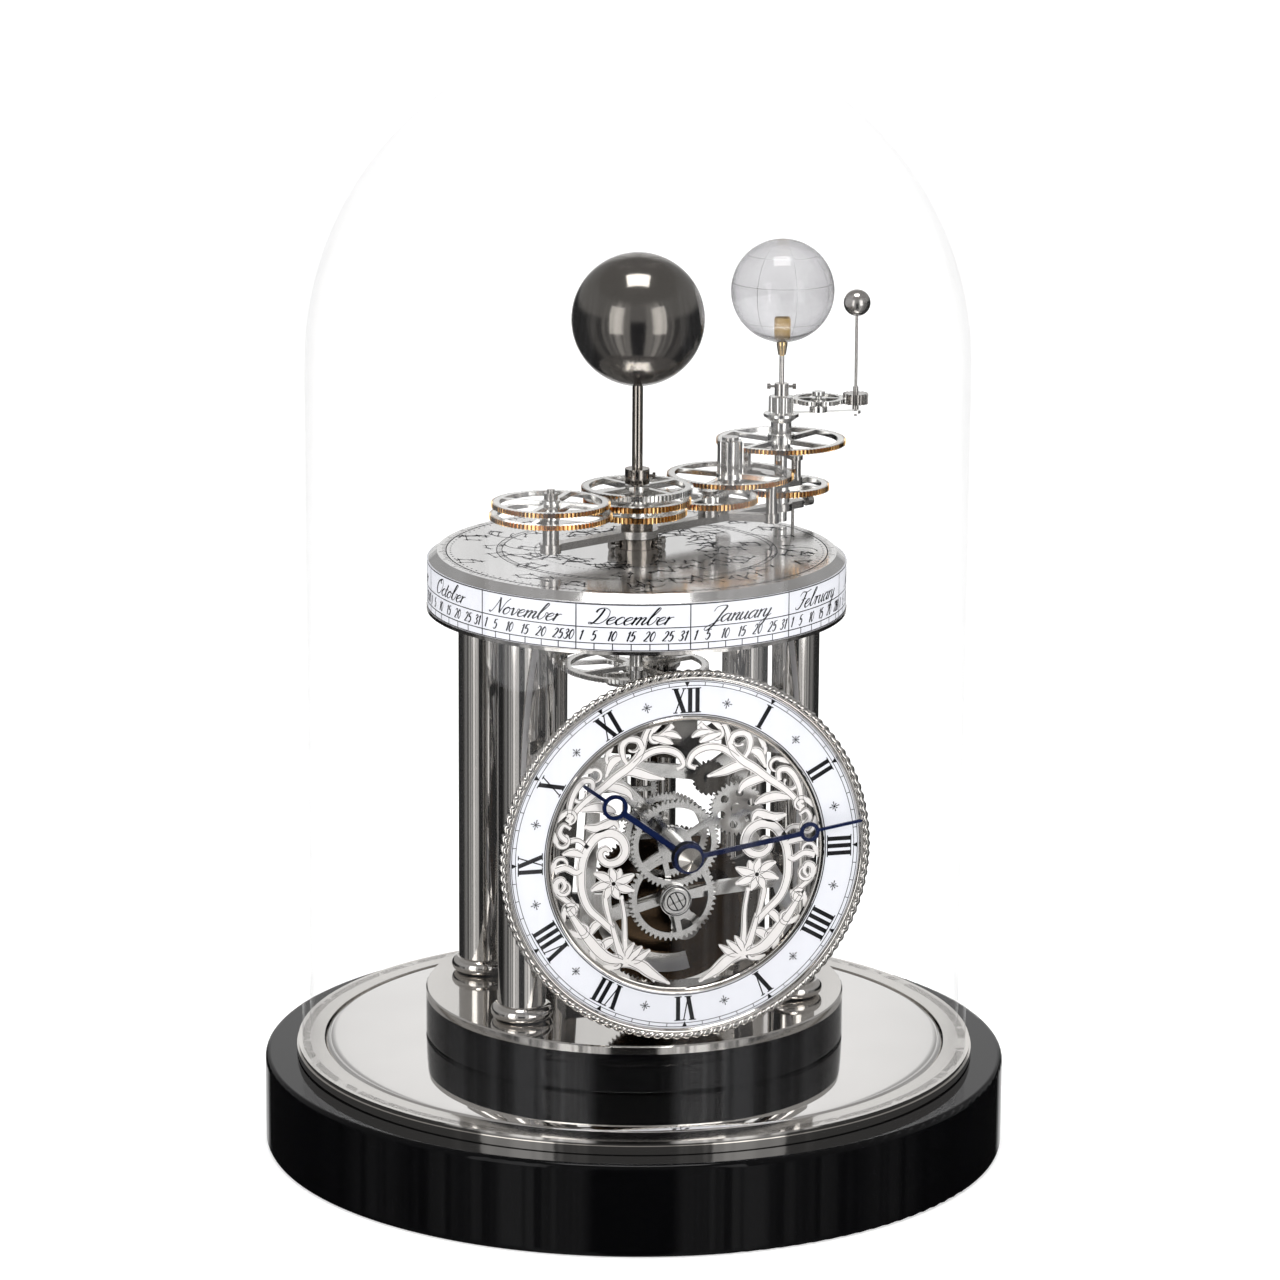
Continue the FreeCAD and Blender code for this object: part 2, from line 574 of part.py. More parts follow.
def make_going_train(place):
    """Mainspring barrel with its great wheel, winding arbor and third wheel."""
    heading = direction(CENTRE, place["barrel"])
    great_phase = in_mesh(0.0, CENTRE_PINION_TEETH, GREAT_TEETH, heading)
    drum = [toothed(GREAT_TEETH, BARREL_MODULE, great_phase, 21.9, 24.2, place["barrel"]),
            stack([(24.0, 24.2, 42.0), (23.0, 42.0, 42.8)], place["barrel"])]
    barrel = fused(drum).cut(rod(22.5, 25.4, 41.0, place["barrel"]))
    save_clock("mainspring_barrel", bored(barrel, 2.5 + RUNNING, place["barrel"]))
    corner = FreeCAD.Vector(place["barrel"][0] - 1.7, place["barrel"][1] - 1.7, 0)
    square = Part.makeBox(3.4, 3.4, 14, corner)
    arbor = stack([(2.5, 8.0, 53.4), (5.0, 26.5, 39.5)], place["barrel"])
    save_clock("winding_arbor", fused([arbor, square]))
    third_heading = direction(CENTRE, place["third"])
    third_phase = in_mesh(0.0, CENTRE_TEETH, THIRD_PINION_TEETH, third_heading)
    third = [toothed(THIRD_PINION_TEETH, MODULE, third_phase, 43.0, 47.0, place["third"]),
             wheel(60, 0.4, 0.0, 30.0, 31.4, place["third"], 2.6, 4, rim=2.0),
             rod(1.0, BACK_PLATE - 1, FRONT_PLATE + PLATE + 0.6, place["third"])]
    save_clock("third_wheel", fused(third))


# ---------------------------------------------------------------- sun, earth and moon
def thumbscrew(radius, length, centre_height, reach, heading, at=(0.0, 0.0)):
    """Round-headed screw lying flat, pointing at an upright axis."""
    shank = Part.makeCylinder(radius * 0.45, length, FreeCAD.Vector(reach, 0, 0), X_AXIS)
    head = Part.makeCylinder(radius, length * 0.45, FreeCAD.Vector(reach + length * 0.55, 0, 0), X_AXIS)
    screw = fused([shank, head])
    screw.rotate(ORIGIN, Z_AXIS, heading)
    screw.translate(FreeCAD.Vector(at[0], at[1], centre_height))
    return screw


def make_hub_and_sun():
    """Fixed hub, the wheel held still on it, the sun's collar, stem and ball."""
    core = ARBOR + 1.0 + RUNNING
    skirt_top = CHART_TOP + 1.2
    shoulder = ARM_BOTTOM - 0.2
    hub = stack([(8.6, CHART_TOP, skirt_top), (8.0, skirt_top, shoulder), (HUB_RADIUS, shoulder, HUB_TOP)])
    save("centre_hub", bored(hub, core).cut(rod(FLANGE_RADIUS, STEM_FOOT, HUB_TOP + 1)))
    screws = [thumbscrew(1.5, 4.0, 230.4, 7.6, heading) for heading in (14.5, 134.5, 194.5, 314.5)]
    save("hub_thumbscrews", Part.makeCompound(screws))
    fixed = wheel(FIXED_TEETH, MODULE, 0.0, FIXED_LEVEL, FIXED_LEVEL + WHEEL_THICKNESS, (0, 0), 6.4, 5)
    fixed = fused([fixed, rod(HUB_RADIUS, HUB_TOP, FIXED_LEVEL + 0.2)])
    save_on_arm("fixed_wheel", fixed.cut(rod(FLANGE_RADIUS, HUB_TOP - 1, FIXED_LEVEL + 9)))
    tip_radius = 1.3
    tip_top = STEM_TOP + 1.4
    stem = stack([(FLANGE_RADIUS, STEM_FOOT, HUB_TOP + 0.4), (SUN_STEM_RADIUS, STEM_FOOT, STEM_TOP - 1),
                  (4.6, COLLAR_LEVEL, COLLAR_TOP), (3.0, COLLAR_LEVEL - 0.4, COLLAR_LEVEL + 0.2)])
    tip = turned([(0, STEM_TOP - 1), (SUN_STEM_RADIUS, STEM_TOP - 1), (tip_radius, tip_top), (0, tip_top)])
    collar_screw = thumbscrew(1.3, 2.6, (COLLAR_LEVEL + COLLAR_TOP) / 2, 4.2, -14.5)
    stem = fused([stem, tip, collar_screw])
    save("sun_stem", stem.cut(rod(ARBOR, STEM_FOOT - 1, STEM_FOOT + 0.6)))
    ball = Part.makeSphere(SUN_RADIUS, FreeCAD.Vector(0, 0, SUN_HEIGHT))
    socket = fused([rod(SUN_STEM_RADIUS, STEM_TOP - 12, STEM_TOP - 1), tip])
    save("sun_ball", ball.cut(socket))


def central_wheel(name, teeth, phase, level, spokes):
    """Wheel that turns freely on the sun's stem."""
    blank = wheel(teeth, MODULE, phase, level, level + WHEEL_THICKNESS, (0, 0), 4.4, spokes)
    hub = rod(4.4, level - 0.9, level + WHEEL_THICKNESS + 0.3)
    save_on_arm(name, bored(fused([blank, hub]), 2.0 + RUNNING))


def make_centre_wheels():
    """Input wheel, silver wheel and the reduction pair that joins them."""
    input_phase = 0.0
    lower_phase = in_mesh(input_phase, INPUT_TEETH, REDUCTION_LOWER_TEETH, 180)
    upper_phase = 0.0
    silver_phase = in_mesh(upper_phase, REDUCTION_UPPER_TEETH, SILVER_TEETH, 0)
    central_wheel("input_wheel", INPUT_TEETH, input_phase, INPUT_LEVEL, 5)
    central_wheel("silver_wheel", SILVER_TEETH, silver_phase, SILVER_LEVEL, 4)
    at = (REDUCTION_OUT, 0.0)
    lower_top = INPUT_LEVEL + THIN_WHEEL
    upper_top = SILVER_LEVEL + THIN_WHEEL
    pair = [wheel(REDUCTION_LOWER_TEETH, MODULE, lower_phase, INPUT_LEVEL, lower_top, at, 4.2, 4, turn=30),
            wheel(REDUCTION_UPPER_TEETH, MODULE, upper_phase, SILVER_LEVEL, upper_top, at, 4.2, 4, turn=30),
            rod(FLANGE_RADIUS, INPUT_LEVEL - 0.5, upper_top + 0.6, at)]
    save_on_arm("reduction_wheels", bored(fused(pair), 1.5 + RUNNING, at))
    return silver_phase


def make_year_arm():
    """Arm that carries the earth round the sun, with its posts and nuts."""
    end = (EARTH_OUT, 0.0)
    reduction = (REDUCTION_OUT, 0.0)
    idler = (IDLER_OUT, 0.0)
    front = (POST_SPREAD[0], -POST_SPREAD[1])
    rear = POST_SPREAD
    fork = (45.0, 0.0)
    pieces = [bar((0.0, 0.0), tip, 5.0, ARM_BOTTOM, ARM_TOP) for tip in (reduction, end)]
    pieces += [bar(fork, post, 4.4, ARM_BOTTOM, ARM_TOP) for post in (front, rear)]
    pieces += [rod(8.0, ARM_BOTTOM, ARM_TOP), rod(4.6, ARM_BOTTOM, ARM_TOP, end)]
    pieces.append(stack([(3.9, ARM_BOTTOM - 0.6, ARM_TOP), (3.0, ARM_TOP, INPUT_LEVEL - 0.8),
                         (1.5, 244.0, SILVER_LEVEL + 3.0), (2.6, SILVER_LEVEL + 2.7, SILVER_LEVEL + 5.0),
                         (1.4, SILVER_LEVEL + 5.0, SILVER_LEVEL + 6.4)], reduction))
    pieces.append(stack([(4.3, ARM_TOP, FIXED_LEVEL - 0.8), (1.5, 240.0, 244.4), (3.0, 244.3, 245.6)], idler))
    for post in (front, rear):
        pieces.append(stack([(2.9, ARM_BOTTOM - 0.4, ARM_TOP + 0.4), (2.1, ARM_TOP, BRIDGE_LEVEL)], post))
    arm = bored(fused(pieces), HUB_RADIUS + RUNNING)
    save_on_arm("year_arm", bored(arm, 2.6 + RUNNING, end))


def moon_drive_place():
    """Arbor of the wheel between the silver wheel and the moon carrier."""
    from_centre = MODULE * (SILVER_TEETH + MOON_DRIVE_TEETH) / 2
    from_earth = MODULE * (LONG_PINION_TEETH + CARRIER_TEETH) / 2
    cosine = (from_centre ** 2 + EARTH_OUT ** 2 - from_earth ** 2) / (2 * from_centre * EARTH_OUT)
    return polar(from_centre, -math.degrees(math.acos(cosine)))


def make_bridges(drive):
    """Lower and upper bridge plates with their pillars."""
    end = (EARTH_OUT, 0.0)
    posts = ((POST_SPREAD[0], -POST_SPREAD[1]), POST_SPREAD)
    pillars = ((PILLAR_SPREAD[0], -PILLAR_SPREAD[1]), PILLAR_SPREAD)
    low, high = BRIDGE_LEVEL, BRIDGE_LEVEL + 2.0
    pieces = [rod(7.5, low, high, end)]
    pieces += [bar(post, drive, 5.0, low, high) for post in posts]
    pieces += [bar(post, pillar, 5.0, low, high) for post, pillar in zip(posts, pillars)]
    pieces += [bar(pillar, end, 5.0, low, high) for pillar in pillars]
    pieces.append(stack([(3.4, high, 249.6), (1.5, high, 264.6), (3.2, 264.5, 265.6)], drive))
    lower = bored(fused(pieces), 2.4, end)
    save_on_arm("lower_bridge", lower)
    top_low, top_high = UPPER_BRIDGE_LEVEL, UPPER_BRIDGE_LEVEL + 1.6
    tops = [rod(4.6, top_low, top_high, end)]
    tops += [bar(pillar, end, 5.0, top_low, top_high) for pillar in pillars]
    tops += [stack([(2.4, high, high + 1), (1.8, high, top_low + 0.2)], pillar) for pillar in pillars]
    save_on_arm("upper_bridge", bored(fused(tops), 2.4, end))
    sleeve = stack([(2.4, BRIDGE_LEVEL, 273.0), (3.6, UPPER_BRIDGE_LEVEL + 1.6, CARRIER_LEVEL - 0.4)], end)
    pinion = toothed(EARTH_PINION_TEETH, MODULE, MOON_ANGLE, EARTH_PINION_LEVEL, EARTH_PINION_TOP, end)
    save_on_arm("earth_pinion", bored(fused([sleeve, pinion]), STEM_RADIUS + RUNNING, end))


def make_earth():
    """Idler and earth wheels that keep the globe pointing one way, its stem and the globe."""
    idler = (IDLER_OUT, 0.0)
    end = (EARTH_OUT, 0.0)
    idler_phase = in_mesh(0.0, FIXED_TEETH, IDLER_TEETH, 0)
    earth_phase = in_mesh(idler_phase, IDLER_TEETH, FIXED_TEETH, 0)
    top = FIXED_LEVEL + WHEEL_THICKNESS
    wheel_blank = wheel(IDLER_TEETH, MODULE, idler_phase, FIXED_LEVEL, top, idler, 4.4, 4, turn=20)
    hub = rod(FLANGE_RADIUS, FIXED_LEVEL - 0.4, top + 0.3, idler)
    save_on_arm("idler_wheel", bored(fused([wheel_blank, hub]), ARBOR + RUNNING, idler))
    earth = [wheel(FIXED_TEETH, MODULE, earth_phase, FIXED_LEVEL, top, end, 4.4, 5, turn=10),
             stack([(2.6, EARTH_STEM_FOOT, FIXED_LEVEL), (3.6, ARM_TOP + 0.4, FIXED_LEVEL),
                    (FLANGE_RADIUS, top, BRIDGE_LEVEL - 0.6)], end)]
    save_on_arm("earth_wheel", bored(fused(earth), STEM_RADIUS, end))
    collar = EARTH_PINION_TOP + 0.4
    stem = stack([(STEM_RADIUS, EARTH_STEM_FOOT, EARTH_STEM_TOP), (2.7, collar, collar + 4.6)], end)
    screws = [thumbscrew(1.1, 3.0, collar + 3.4, 2.5, heading, end) for heading in (-41.3, 138.7)]
    ferrule_radius = 2.1
    ferrule = turned([(0, FERRULE_TOP - 6.2), (1.5, FERRULE_TOP - 6.2), (ferrule_radius, FERRULE_TOP - 2.4),
                      (ferrule_radius, FERRULE_TOP), (0, FERRULE_TOP)], end)
    save_on_arm("earth_stem", fused([stem, ferrule] + screws))
    globe = Part.makeSphere(EARTH_RADIUS, FreeCAD.Vector(EARTH_OUT, 0, EARTH_HEIGHT))
    socket = stack([(ferrule_radius, FERRULE_TOP - 9.4, FERRULE_TOP),
                    (STEM_RADIUS, FERRULE_TOP - 0.4, EARTH_STEM_TOP)], end)
    save_on_arm("earth_globe", globe.cut(socket))


def make_moon(drive, silver_phase):
    """Moon drive wheel, carrier with its arm, idler, stem and moon."""
    end = (EARTH_OUT, 0.0)
    heading = direction((0, 0), drive)
    drive_phase = in_mesh(silver_phase, SILVER_TEETH, MOON_DRIVE_TEETH, heading)
    pinion_phase = drive_phase
    carrier_heading = direction(drive, end)
    carrier_phase = in_mesh(pinion_phase, LONG_PINION_TEETH, CARRIER_TEETH, carrier_heading)
    top = SILVER_LEVEL + THIN_WHEEL
    drive_wheel = [wheel(MOON_DRIVE_TEETH, MODULE, drive_phase, SILVER_LEVEL, top, drive, 5.2, 4, turn=25),
                   toothed(LONG_PINION_TEETH, MODULE, pinion_phase, top, LONG_PINION_TOP, drive)]
    save_on_arm("moon_drive_wheel", bored(fused(drive_wheel), ARBOR + RUNNING, drive))

    idler_at = along(end, MOON_ARM / 2, MOON_ANGLE)
    moon_at = along(end, MOON_ARM, MOON_ANGLE)
    arm_high = MOON_ARM_LEVEL + 1.1
    carrier_top = CARRIER_LEVEL + THIN_WHEEL
    carrier = [wheel(CARRIER_TEETH, MODULE, carrier_phase, CARRIER_LEVEL, carrier_top, end, 5.1, 4, turn=12),
               turned([(0, CARRIER_LEVEL), (5.1, CARRIER_LEVEL), (5.1, 262.8), (3.95, 262.8), (3.95, 267.4),
                       (6.8, MOON_ARM_LEVEL), (6.8, arm_high), (0, arm_high)], end),
               bar(end, moon_at, 4.0, MOON_ARM_LEVEL, arm_high),
               stack([(3.4, arm_high, 273.0), (2.2, 273.0, 274.2), (1.2, 274.0, 277.0), (2.4, 276.9, 278.6)],
                     idler_at)]
    carrier_solid = bored(fused(carrier), 2.4 + RUNNING, end)
    save_on_arm("moon_carrier", bored(carrier_solid, MOON_STEM_RADIUS + RUNNING, moon_at))

    idler_phase = in_mesh(MOON_ANGLE, EARTH_PINION_TEETH, MOON_IDLER_TEETH, MOON_ANGLE)
    moon_phase = in_mesh(idler_phase, MOON_IDLER_TEETH, EARTH_PINION_TEETH, MOON_ANGLE)
    idler = wheel(MOON_IDLER_TEETH, MODULE, idler_phase, MOON_GEAR_LEVEL, MOON_GEAR_LEVEL + 1.6, idler_at,
                  3.0, 4, rim=2.0, turn=45)
    save_on_arm("moon_idler", bored(idler, STUD + RUNNING, idler_at))
    pinion = toothed(EARTH_PINION_TEETH, MODULE, moon_phase, MOON_PINION_LEVEL, MOON_PINION_TOP, moon_at)
    stem_top = MOON_HEIGHT - 2
    stem = stack([(MOON_STEM_RADIUS, MOON_ARM_LEVEL - 1.1, stem_top), (1.2, arm_high + 0.4, MOON_PINION_LEVEL),
                  (1.0, MOON_PINION_TOP, MOON_PINION_TOP + 2.6)], moon_at)
    save_on_arm("moon_stem", fused([pinion, stem]))
    ball = Part.makeSphere(MOON_RADIUS, FreeCAD.Vector(moon_at[0], moon_at[1], MOON_HEIGHT))
    save_on_arm("moon_ball", ball.cut(rod(MOON_STEM_RADIUS, stem_top - 10, stem_top, moon_at)))


def make_date_pointer():
    """Pointer carried by the arm's end that reads the date on the ring below."""
    place = (EARTH_OUT + 6.6, 0.0)
    clamp = bar((EARTH_OUT + 4.6, 0.0), (EARTH_OUT + 9.0, 0.0), 5.0, ARM_BOTTOM, ARM_TOP)
    clamp = clamp.cut(rod(4.6, ARM_BOTTOM - 1, ARM_TOP + 1, (EARTH_OUT, 0.0)))
    rod_down = stack([(0.6, 219.0, ARM_BOTTOM + 1)], place)
    screw = thumbscrew(2.0, 6.0, 235.0, 0, 0)
    screw.translate(FreeCAD.Vector(EARTH_OUT + 10.0, 0, 0))
    save_on_arm("date_pointer", fused([clamp, rod_down, screw]))


def main():
    """Build every sub-part."""
    os.makedirs("parts", exist_ok=True)
    make_base()
    make_dome()
    make_drum()
    make_columns()
    make_calendar_ring()
    make_dial()
    make_hands()
    place = clock_layout()
    make_plates(place)
    make_motion_work(place)
    make_orrery_drive(place)
    make_going_train(place)
    make_hub_and_sun()
    silver_phase = make_centre_wheels()
    make_year_arm()
    drive = moon_drive_place()
    make_bridges(drive)
    make_earth()
    make_moon(drive, silver_phase)
    make_date_pointer()


main()
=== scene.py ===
"""Looks of the glass-domed orrery clock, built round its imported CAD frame.

Shapes are worked out in millimetres and made in metres: +Z up, dial facing -Y.
"""
import math
import random

import bpy
from mathutils import Euler, Matrix, Vector


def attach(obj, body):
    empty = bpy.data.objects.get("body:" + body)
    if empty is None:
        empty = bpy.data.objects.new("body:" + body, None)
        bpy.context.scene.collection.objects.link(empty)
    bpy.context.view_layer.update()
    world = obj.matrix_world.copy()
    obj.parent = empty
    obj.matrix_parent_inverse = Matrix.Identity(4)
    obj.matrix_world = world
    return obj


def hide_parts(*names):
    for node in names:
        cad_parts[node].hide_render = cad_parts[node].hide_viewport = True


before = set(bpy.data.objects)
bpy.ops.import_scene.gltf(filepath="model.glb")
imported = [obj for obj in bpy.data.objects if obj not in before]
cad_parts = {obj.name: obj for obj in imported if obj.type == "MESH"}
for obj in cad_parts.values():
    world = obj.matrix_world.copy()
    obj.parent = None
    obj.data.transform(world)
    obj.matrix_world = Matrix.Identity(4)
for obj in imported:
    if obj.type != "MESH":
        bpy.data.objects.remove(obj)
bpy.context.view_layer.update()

MM = 0.001
# how far print and engraving stand off the surface they are on
LIFT = 0.04

# dial: radii, and depths forward of the clock's axis; outlines are (radius, depth)
DIAL_HEIGHT = 130.0
DIAL_FRONT = 74.0
RING_BACK = 72.4
RING_INNER = 52.0
RING_OUTER = 66.6
RING_BEVEL = 0.3
BORDER_INSET = 0.85
BORDER_WIDTH = 0.35
BEZEL_OUTLINE = ((65.5, 73.4), (65.5, 74.3), (65.8, 74.5), (65.95, 75.0), (66.5, 75.45), (67.1, 75.3),
                 (67.4, 74.6), (67.4, 73.4))
ROPE_CENTRE = 68.15
ROPE_DEPTH = 74.35
ROPE_RADIUS = 1.32
ROPE_SWELL = 0.2
ROPE_TWISTS = 116
ROPE_STEPS = 840
ROPE_SIDES = 14
RIM_OUTLINE = ((50.45, 72.5), (50.45, 74.2), (50.75, 74.6), (51.1, 74.6), (51.35, 74.15), (51.6, 74.75),
               (52.0, 74.85), (52.35, 74.5), (52.5, 74.0), (52.5, 72.5))

# dial print
TRACK_INNER = 63.6
TRACK_OUTER = 65.0
TRACK_WIDTH = 0.24
MINUTE_WIDTH = 0.26
MARKER_FOOT = 0.5
MARKER_WIDTHS = (0.05, 1.9)
NUMERAL_FOOT = 53.6
NUMERAL_HEAD = 62.5
NUMERALS = ("I", "II", "III", "IIII", "V", "VI", "VII", "VIII", "IX", "X", "XI", "XII")
THICK = 1.6
THIN = 0.45
SERIF_REACH = 0.55
SERIF_WIDTH = 0.4
# advance, then foot, head and width of each stroke
ROMAN = {"I": (2.75, ((1.37, 1.37, THICK),)),
         "V": (5.0, ((2.6, 0.9, THICK), (2.6, 4.2, THIN))),
         "X": (5.0, ((4.1, 0.9, THICK), (0.9, 4.1, THIN)))}
STAR_RADIUS = 58.0
STAR_ARM = 1.9
STAR_SHORT_ARM = 1.3
STAR_WIDTHS = (0.42, 0.16, 0.42)

# slotted cap
CAP_DROP = -21.0
CAP_FRONT = 61.4
CAP_RINGS = ((5.4, 0.35), (3.5, 0.4))
SLOT_REACH = 3.4
SLOT_TURN = 118
SLOT_SPREAD = 20
SLOT_WIDTH = 0.45

# base and earth: outlines are (radius, height)
MIRROR_OUTLINE = ((60, 34.8), (60, 41), (79.5, 41), (90, 40.85), (100, 40.5), (110, 39.95), (115, 39.6),
                  (116.6, 39.2), (117.2, 38.4), (117.2, 34.8))
ARM_TURN = 26.8
EARTH_OUT = 72.5
GLOBE_HEIGHT = 317.75
GLOBE_RADIUS = 19.64
TANG_OUTLINE = ((0.05, 298.5), (1.9, 298.5), (1.9, 310.4), (1.5, 311), (0.05, 311))
TANG_BROAD = 1.15
TANG_NARROW = 0.6
MERIDIAN_WIDTH = 0.5
PARALLEL_WIDTH = 0.45

# calendar band and star chart
BAND_RADIUS = 78.1
BAND_TOP = 224.8
NAME_RULE = 216.2
NUMBER_RULE = 210.3
TICK_RULE = 207.9
# height and width of each line round the band
BAND_RULES = ((BAND_TOP - 0.15, 0.42), (NAME_RULE, 0.34), (NUMBER_RULE, 0.34), (TICK_RULE, 0.34))
RULE_STEPS = 240
MONTH_LINE = 0.4
TICK_LINE = 0.36
NAME_SHIFT = -1.6
NAME_BASELINE = 217.4
# size, stretch, slant, and the pen's thin and thick widths
NAME_HAND = (2.85, 1.36, 0.62, (0.28, 0.8))
DATE_BASELINE = 211.3
DATE_HAND = (1.75, 0.9, 0.35, (0.28, 0.62))
DATE_SHIFT = -0.5
FIRST_INSET = 2.0
LAST_INSET = 2.6
CHART_TOP = 227.9
# radius and width of each circle on the chart
CHART_CIRCLES = ((71.0, 0.4), (52.2, 0.3), (50.2, 0.3), (30.5, 0.25))
TICK_FOOT = 71.0
TICK_HEAD = 72.6
LONG_TICK_HEAD = 73.8
SCALE_INNER = 50.2
SCALE_OUTER = 52.2
# radius and dot size of each ring of beads
BEAD_RINGS = ((69.4, 0.38), (38.0, 0.3))
STAR_GROUPS = 84
STAR_LINE = 0.42
SCROLL_COUNT = 34
SCROLL_LINE = 0.4
# share of a turn between one star group and the next
GOLDEN_TURN = 0.381966
MONTHS = (("January", 31), ("February", 28), ("March", 31), ("April", 30), ("May", 31), ("June", 30),
          ("July", 31), ("August", 31), ("September", 30), ("October", 31), ("November", 30),
          ("December", 31))
DAYS_IN_YEAR = 365

# stage, in metres and degrees; the camera was solved from the photograph's ellipses
CAMERA_AZIMUTH = -14.5
CAMERA_PLACE = (-0.47427, -1.83943, 0.64703)
CAMERA_TILT = 76.58
CAMERA_ROLL = 0.341
CAMERA_LENS = 146.92
CAMERA_SHIFT = -0.001057
FLOOR_RADIUS = 3.2
FLOOR_CURVE = 1.2
BACKDROP_TOP = 4.0
FLOOR_SIDES = 96


# ---------------------------------------------------------------- shapes
class Shape:
    """Corners and faces of one piece, in millimetres."""

    def __init__(self):
        self.corners = []
        self.faces = []

    def add(self, corners, faces):
        """Add some corners and the faces between them."""
        start = len(self.corners)
        self.corners += [tuple(corner) for corner in corners]
        self.faces += [tuple(start + index for index in face) for face in faces]


def on_dial(x, y, depth):
    """Point of a place on the dial, x and y as seen from the front."""
    return (x, -depth, DIAL_HEIGHT + y)


def on_band(x, height, radius=BAND_RADIUS + LIFT):
    """Point on the calendar band, x being the length along it from New Year."""
    angle = math.radians(270) + x / BAND_RADIUS
    return (radius * math.cos(angle), radius * math.sin(angle), height)


def polar(radius, degrees):
    """Point at a radius and angle."""
    angle = math.radians(degrees)
    return (radius * math.cos(angle), radius * math.sin(angle))


def smooth_path(points, steps=6):
    """Catmull-Rom curve through given points."""
    if len(points) < 3:
        return list(points)
    padded = [points[0], *points, points[-1]]
    path = []
    for before, start, end, after in zip(padded, padded[1:], padded[2:], padded[3:]):
        for step in range(steps):
            t = step / steps
            path.append(tuple(
                0.5 * (2 * s + (e - b) * t + (2 * b - 5 * s + 4 * e - a) * t ** 2
                       + (3 * s - b - 3 * e + a) * t ** 3)
                for b, s, e, a in zip(before, start, end, after)))
    path.append(tuple(points[-1]))
    return path


def sides_of(path):
    """Unit vectors to the left of a flat path at each of its points."""
    normals = []
    for index in range(len(path)):
        before = path[max(index - 1, 0)]
        after = path[min(index + 1, len(path) - 1)]
        run = (after[0] - before[0], after[1] - before[1])
        length = math.hypot(*run) or 1.0
        normals.append((-run[1] / length, run[0] / length))
    return normals


def strip(shape, path, widths, place):
    """Flat strip of varying width along a path, laid on the work by place(x, y)."""
    corners = []
    for (x, y), (nx, ny), width in zip(path, sides_of(path), widths):
        corners.append(place(x + nx * width / 2, y + ny * width / 2))
        corners.append(place(x - nx * width / 2, y - ny * width / 2))
    faces = [(2 * i, 2 * i + 1, 2 * i + 3, 2 * i + 2) for i in range(len(path) - 1)]
    shape.add(corners, faces)


def line(shape, path, width, place):
    """Flat strip of even width."""
    strip(shape, path, [width] * len(path), place)


def arc(radius, start, end, centre=(0.0, 0.0), step=2.0):
    """Points on part of a circle."""
    count = max(2, int(abs(end - start) / step) + 1)
    points = [polar(radius, start + (end - start) * i / (count - 1)) for i in range(count)]
    return [(centre[0] + x, centre[1] + y) for x, y in points]


def disc(shape, centre, radius, place, sides=10):
    """Flat round dot."""
    outline = arc(radius, 0, 360 * (sides - 1) / sides, centre, 360 / sides)
    corners = [place(*point) for point in outline]
    shape.add(corners, [tuple(range(len(corners)))])


def revolve(shape, profile, place, sides=180):
    """Ring from a closed (radius, level) outline turned round the middle."""
    rows = len(profile)
    corners = []
    for step in range(sides):
        for radius, level in profile:
            corners.append(place(*polar(radius, 360 * step / sides), level))
    faces = []
    for step in range(sides):
        after = (step + 1) % sides
        for row in range(rows):
            other = (row + 1) % rows
            faces.append((step * rows + row, step * rows + other,
                          after * rows + other, after * rows + row))
    shape.add(corners, faces)


def relief(shape, path, widths, low, high, place):
    """Flat-topped strip with small bevels, standing up from low to high."""
    section = ((-1.0, 0.0), (-1.0, 0.86), (-0.9, 1.0), (0.9, 1.0), (1.0, 0.86), (1.0, 0.0))
    rows = len(section)
    corners = []
    for (x, y), (nx, ny), width in zip(path, sides_of(path), widths):
        for side, level in section:
            reach = side * width / 2
            corners.append(place(x + nx * reach, y + ny * reach, low + level * (high - low)))
    faces = []
    for step in range(len(path) - 1):
        for row in range(rows):
            other = (row + 1) % rows
            faces.append((step * rows + row, step * rows + other,
                          (step + 1) * rows + other, (step + 1) * rows + row))
    last = (len(path) - 1) * rows
    faces.append(tuple(reversed(range(rows))))
    faces.append(tuple(range(last, last + rows)))
    shape.add(corners, faces)


def piece(name, shape, material, body, smooth=False):
    """Make an object of a shape, and let it ride on a CAD body."""
    mesh = bpy.data.meshes.new(name)
    corners = [tuple(MM * value for value in corner) for corner in shape.corners]
    mesh.from_pydata(corners, [], shape.faces)
    mesh.materials.append(material)
    if smooth:
        mesh.shade_smooth()
    made = bpy.data.objects.new(name, mesh)
    bpy.context.scene.collection.objects.link(made)
    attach(made, body)
    return made


# ---------------------------------------------------------------- materials
def node(tree, kind, inputs=(), **settings):
    """Add a shader node; an input is a value or another node's output."""
    made = tree.nodes.new(kind)
    for key, value in settings.items():
        setattr(made, key, value)
    for key, value in dict(inputs).items():
        if isinstance(value, bpy.types.NodeSocket):
            tree.links.new(value, made.inputs[key])
        else:
            made.inputs[key].default_value = value
    return made


def calculate(tree, operation, *values):
    """Math node with its values, as an output."""
    return node(tree, "ShaderNodeMath", dict(enumerate(values)), operation=operation).outputs[0]


def blend_colours(tree, share, first, second):
    """Colour between two colours, as an output."""
    return node(tree, "ShaderNodeMix", {0: share, 6: first, 7: second}, data_type="RGBA").outputs[2]


def spread(tree, value, low, high):
    """Value from 0 to 1 spread over a range, as an output."""
    return node(tree, "ShaderNodeMapRange", {0: value, 3: low, 4: high}).outputs[0]


def object_place(tree):
    """Object coordinates, as an output."""
    return node(tree, "ShaderNodeTexCoord").outputs["Object"]


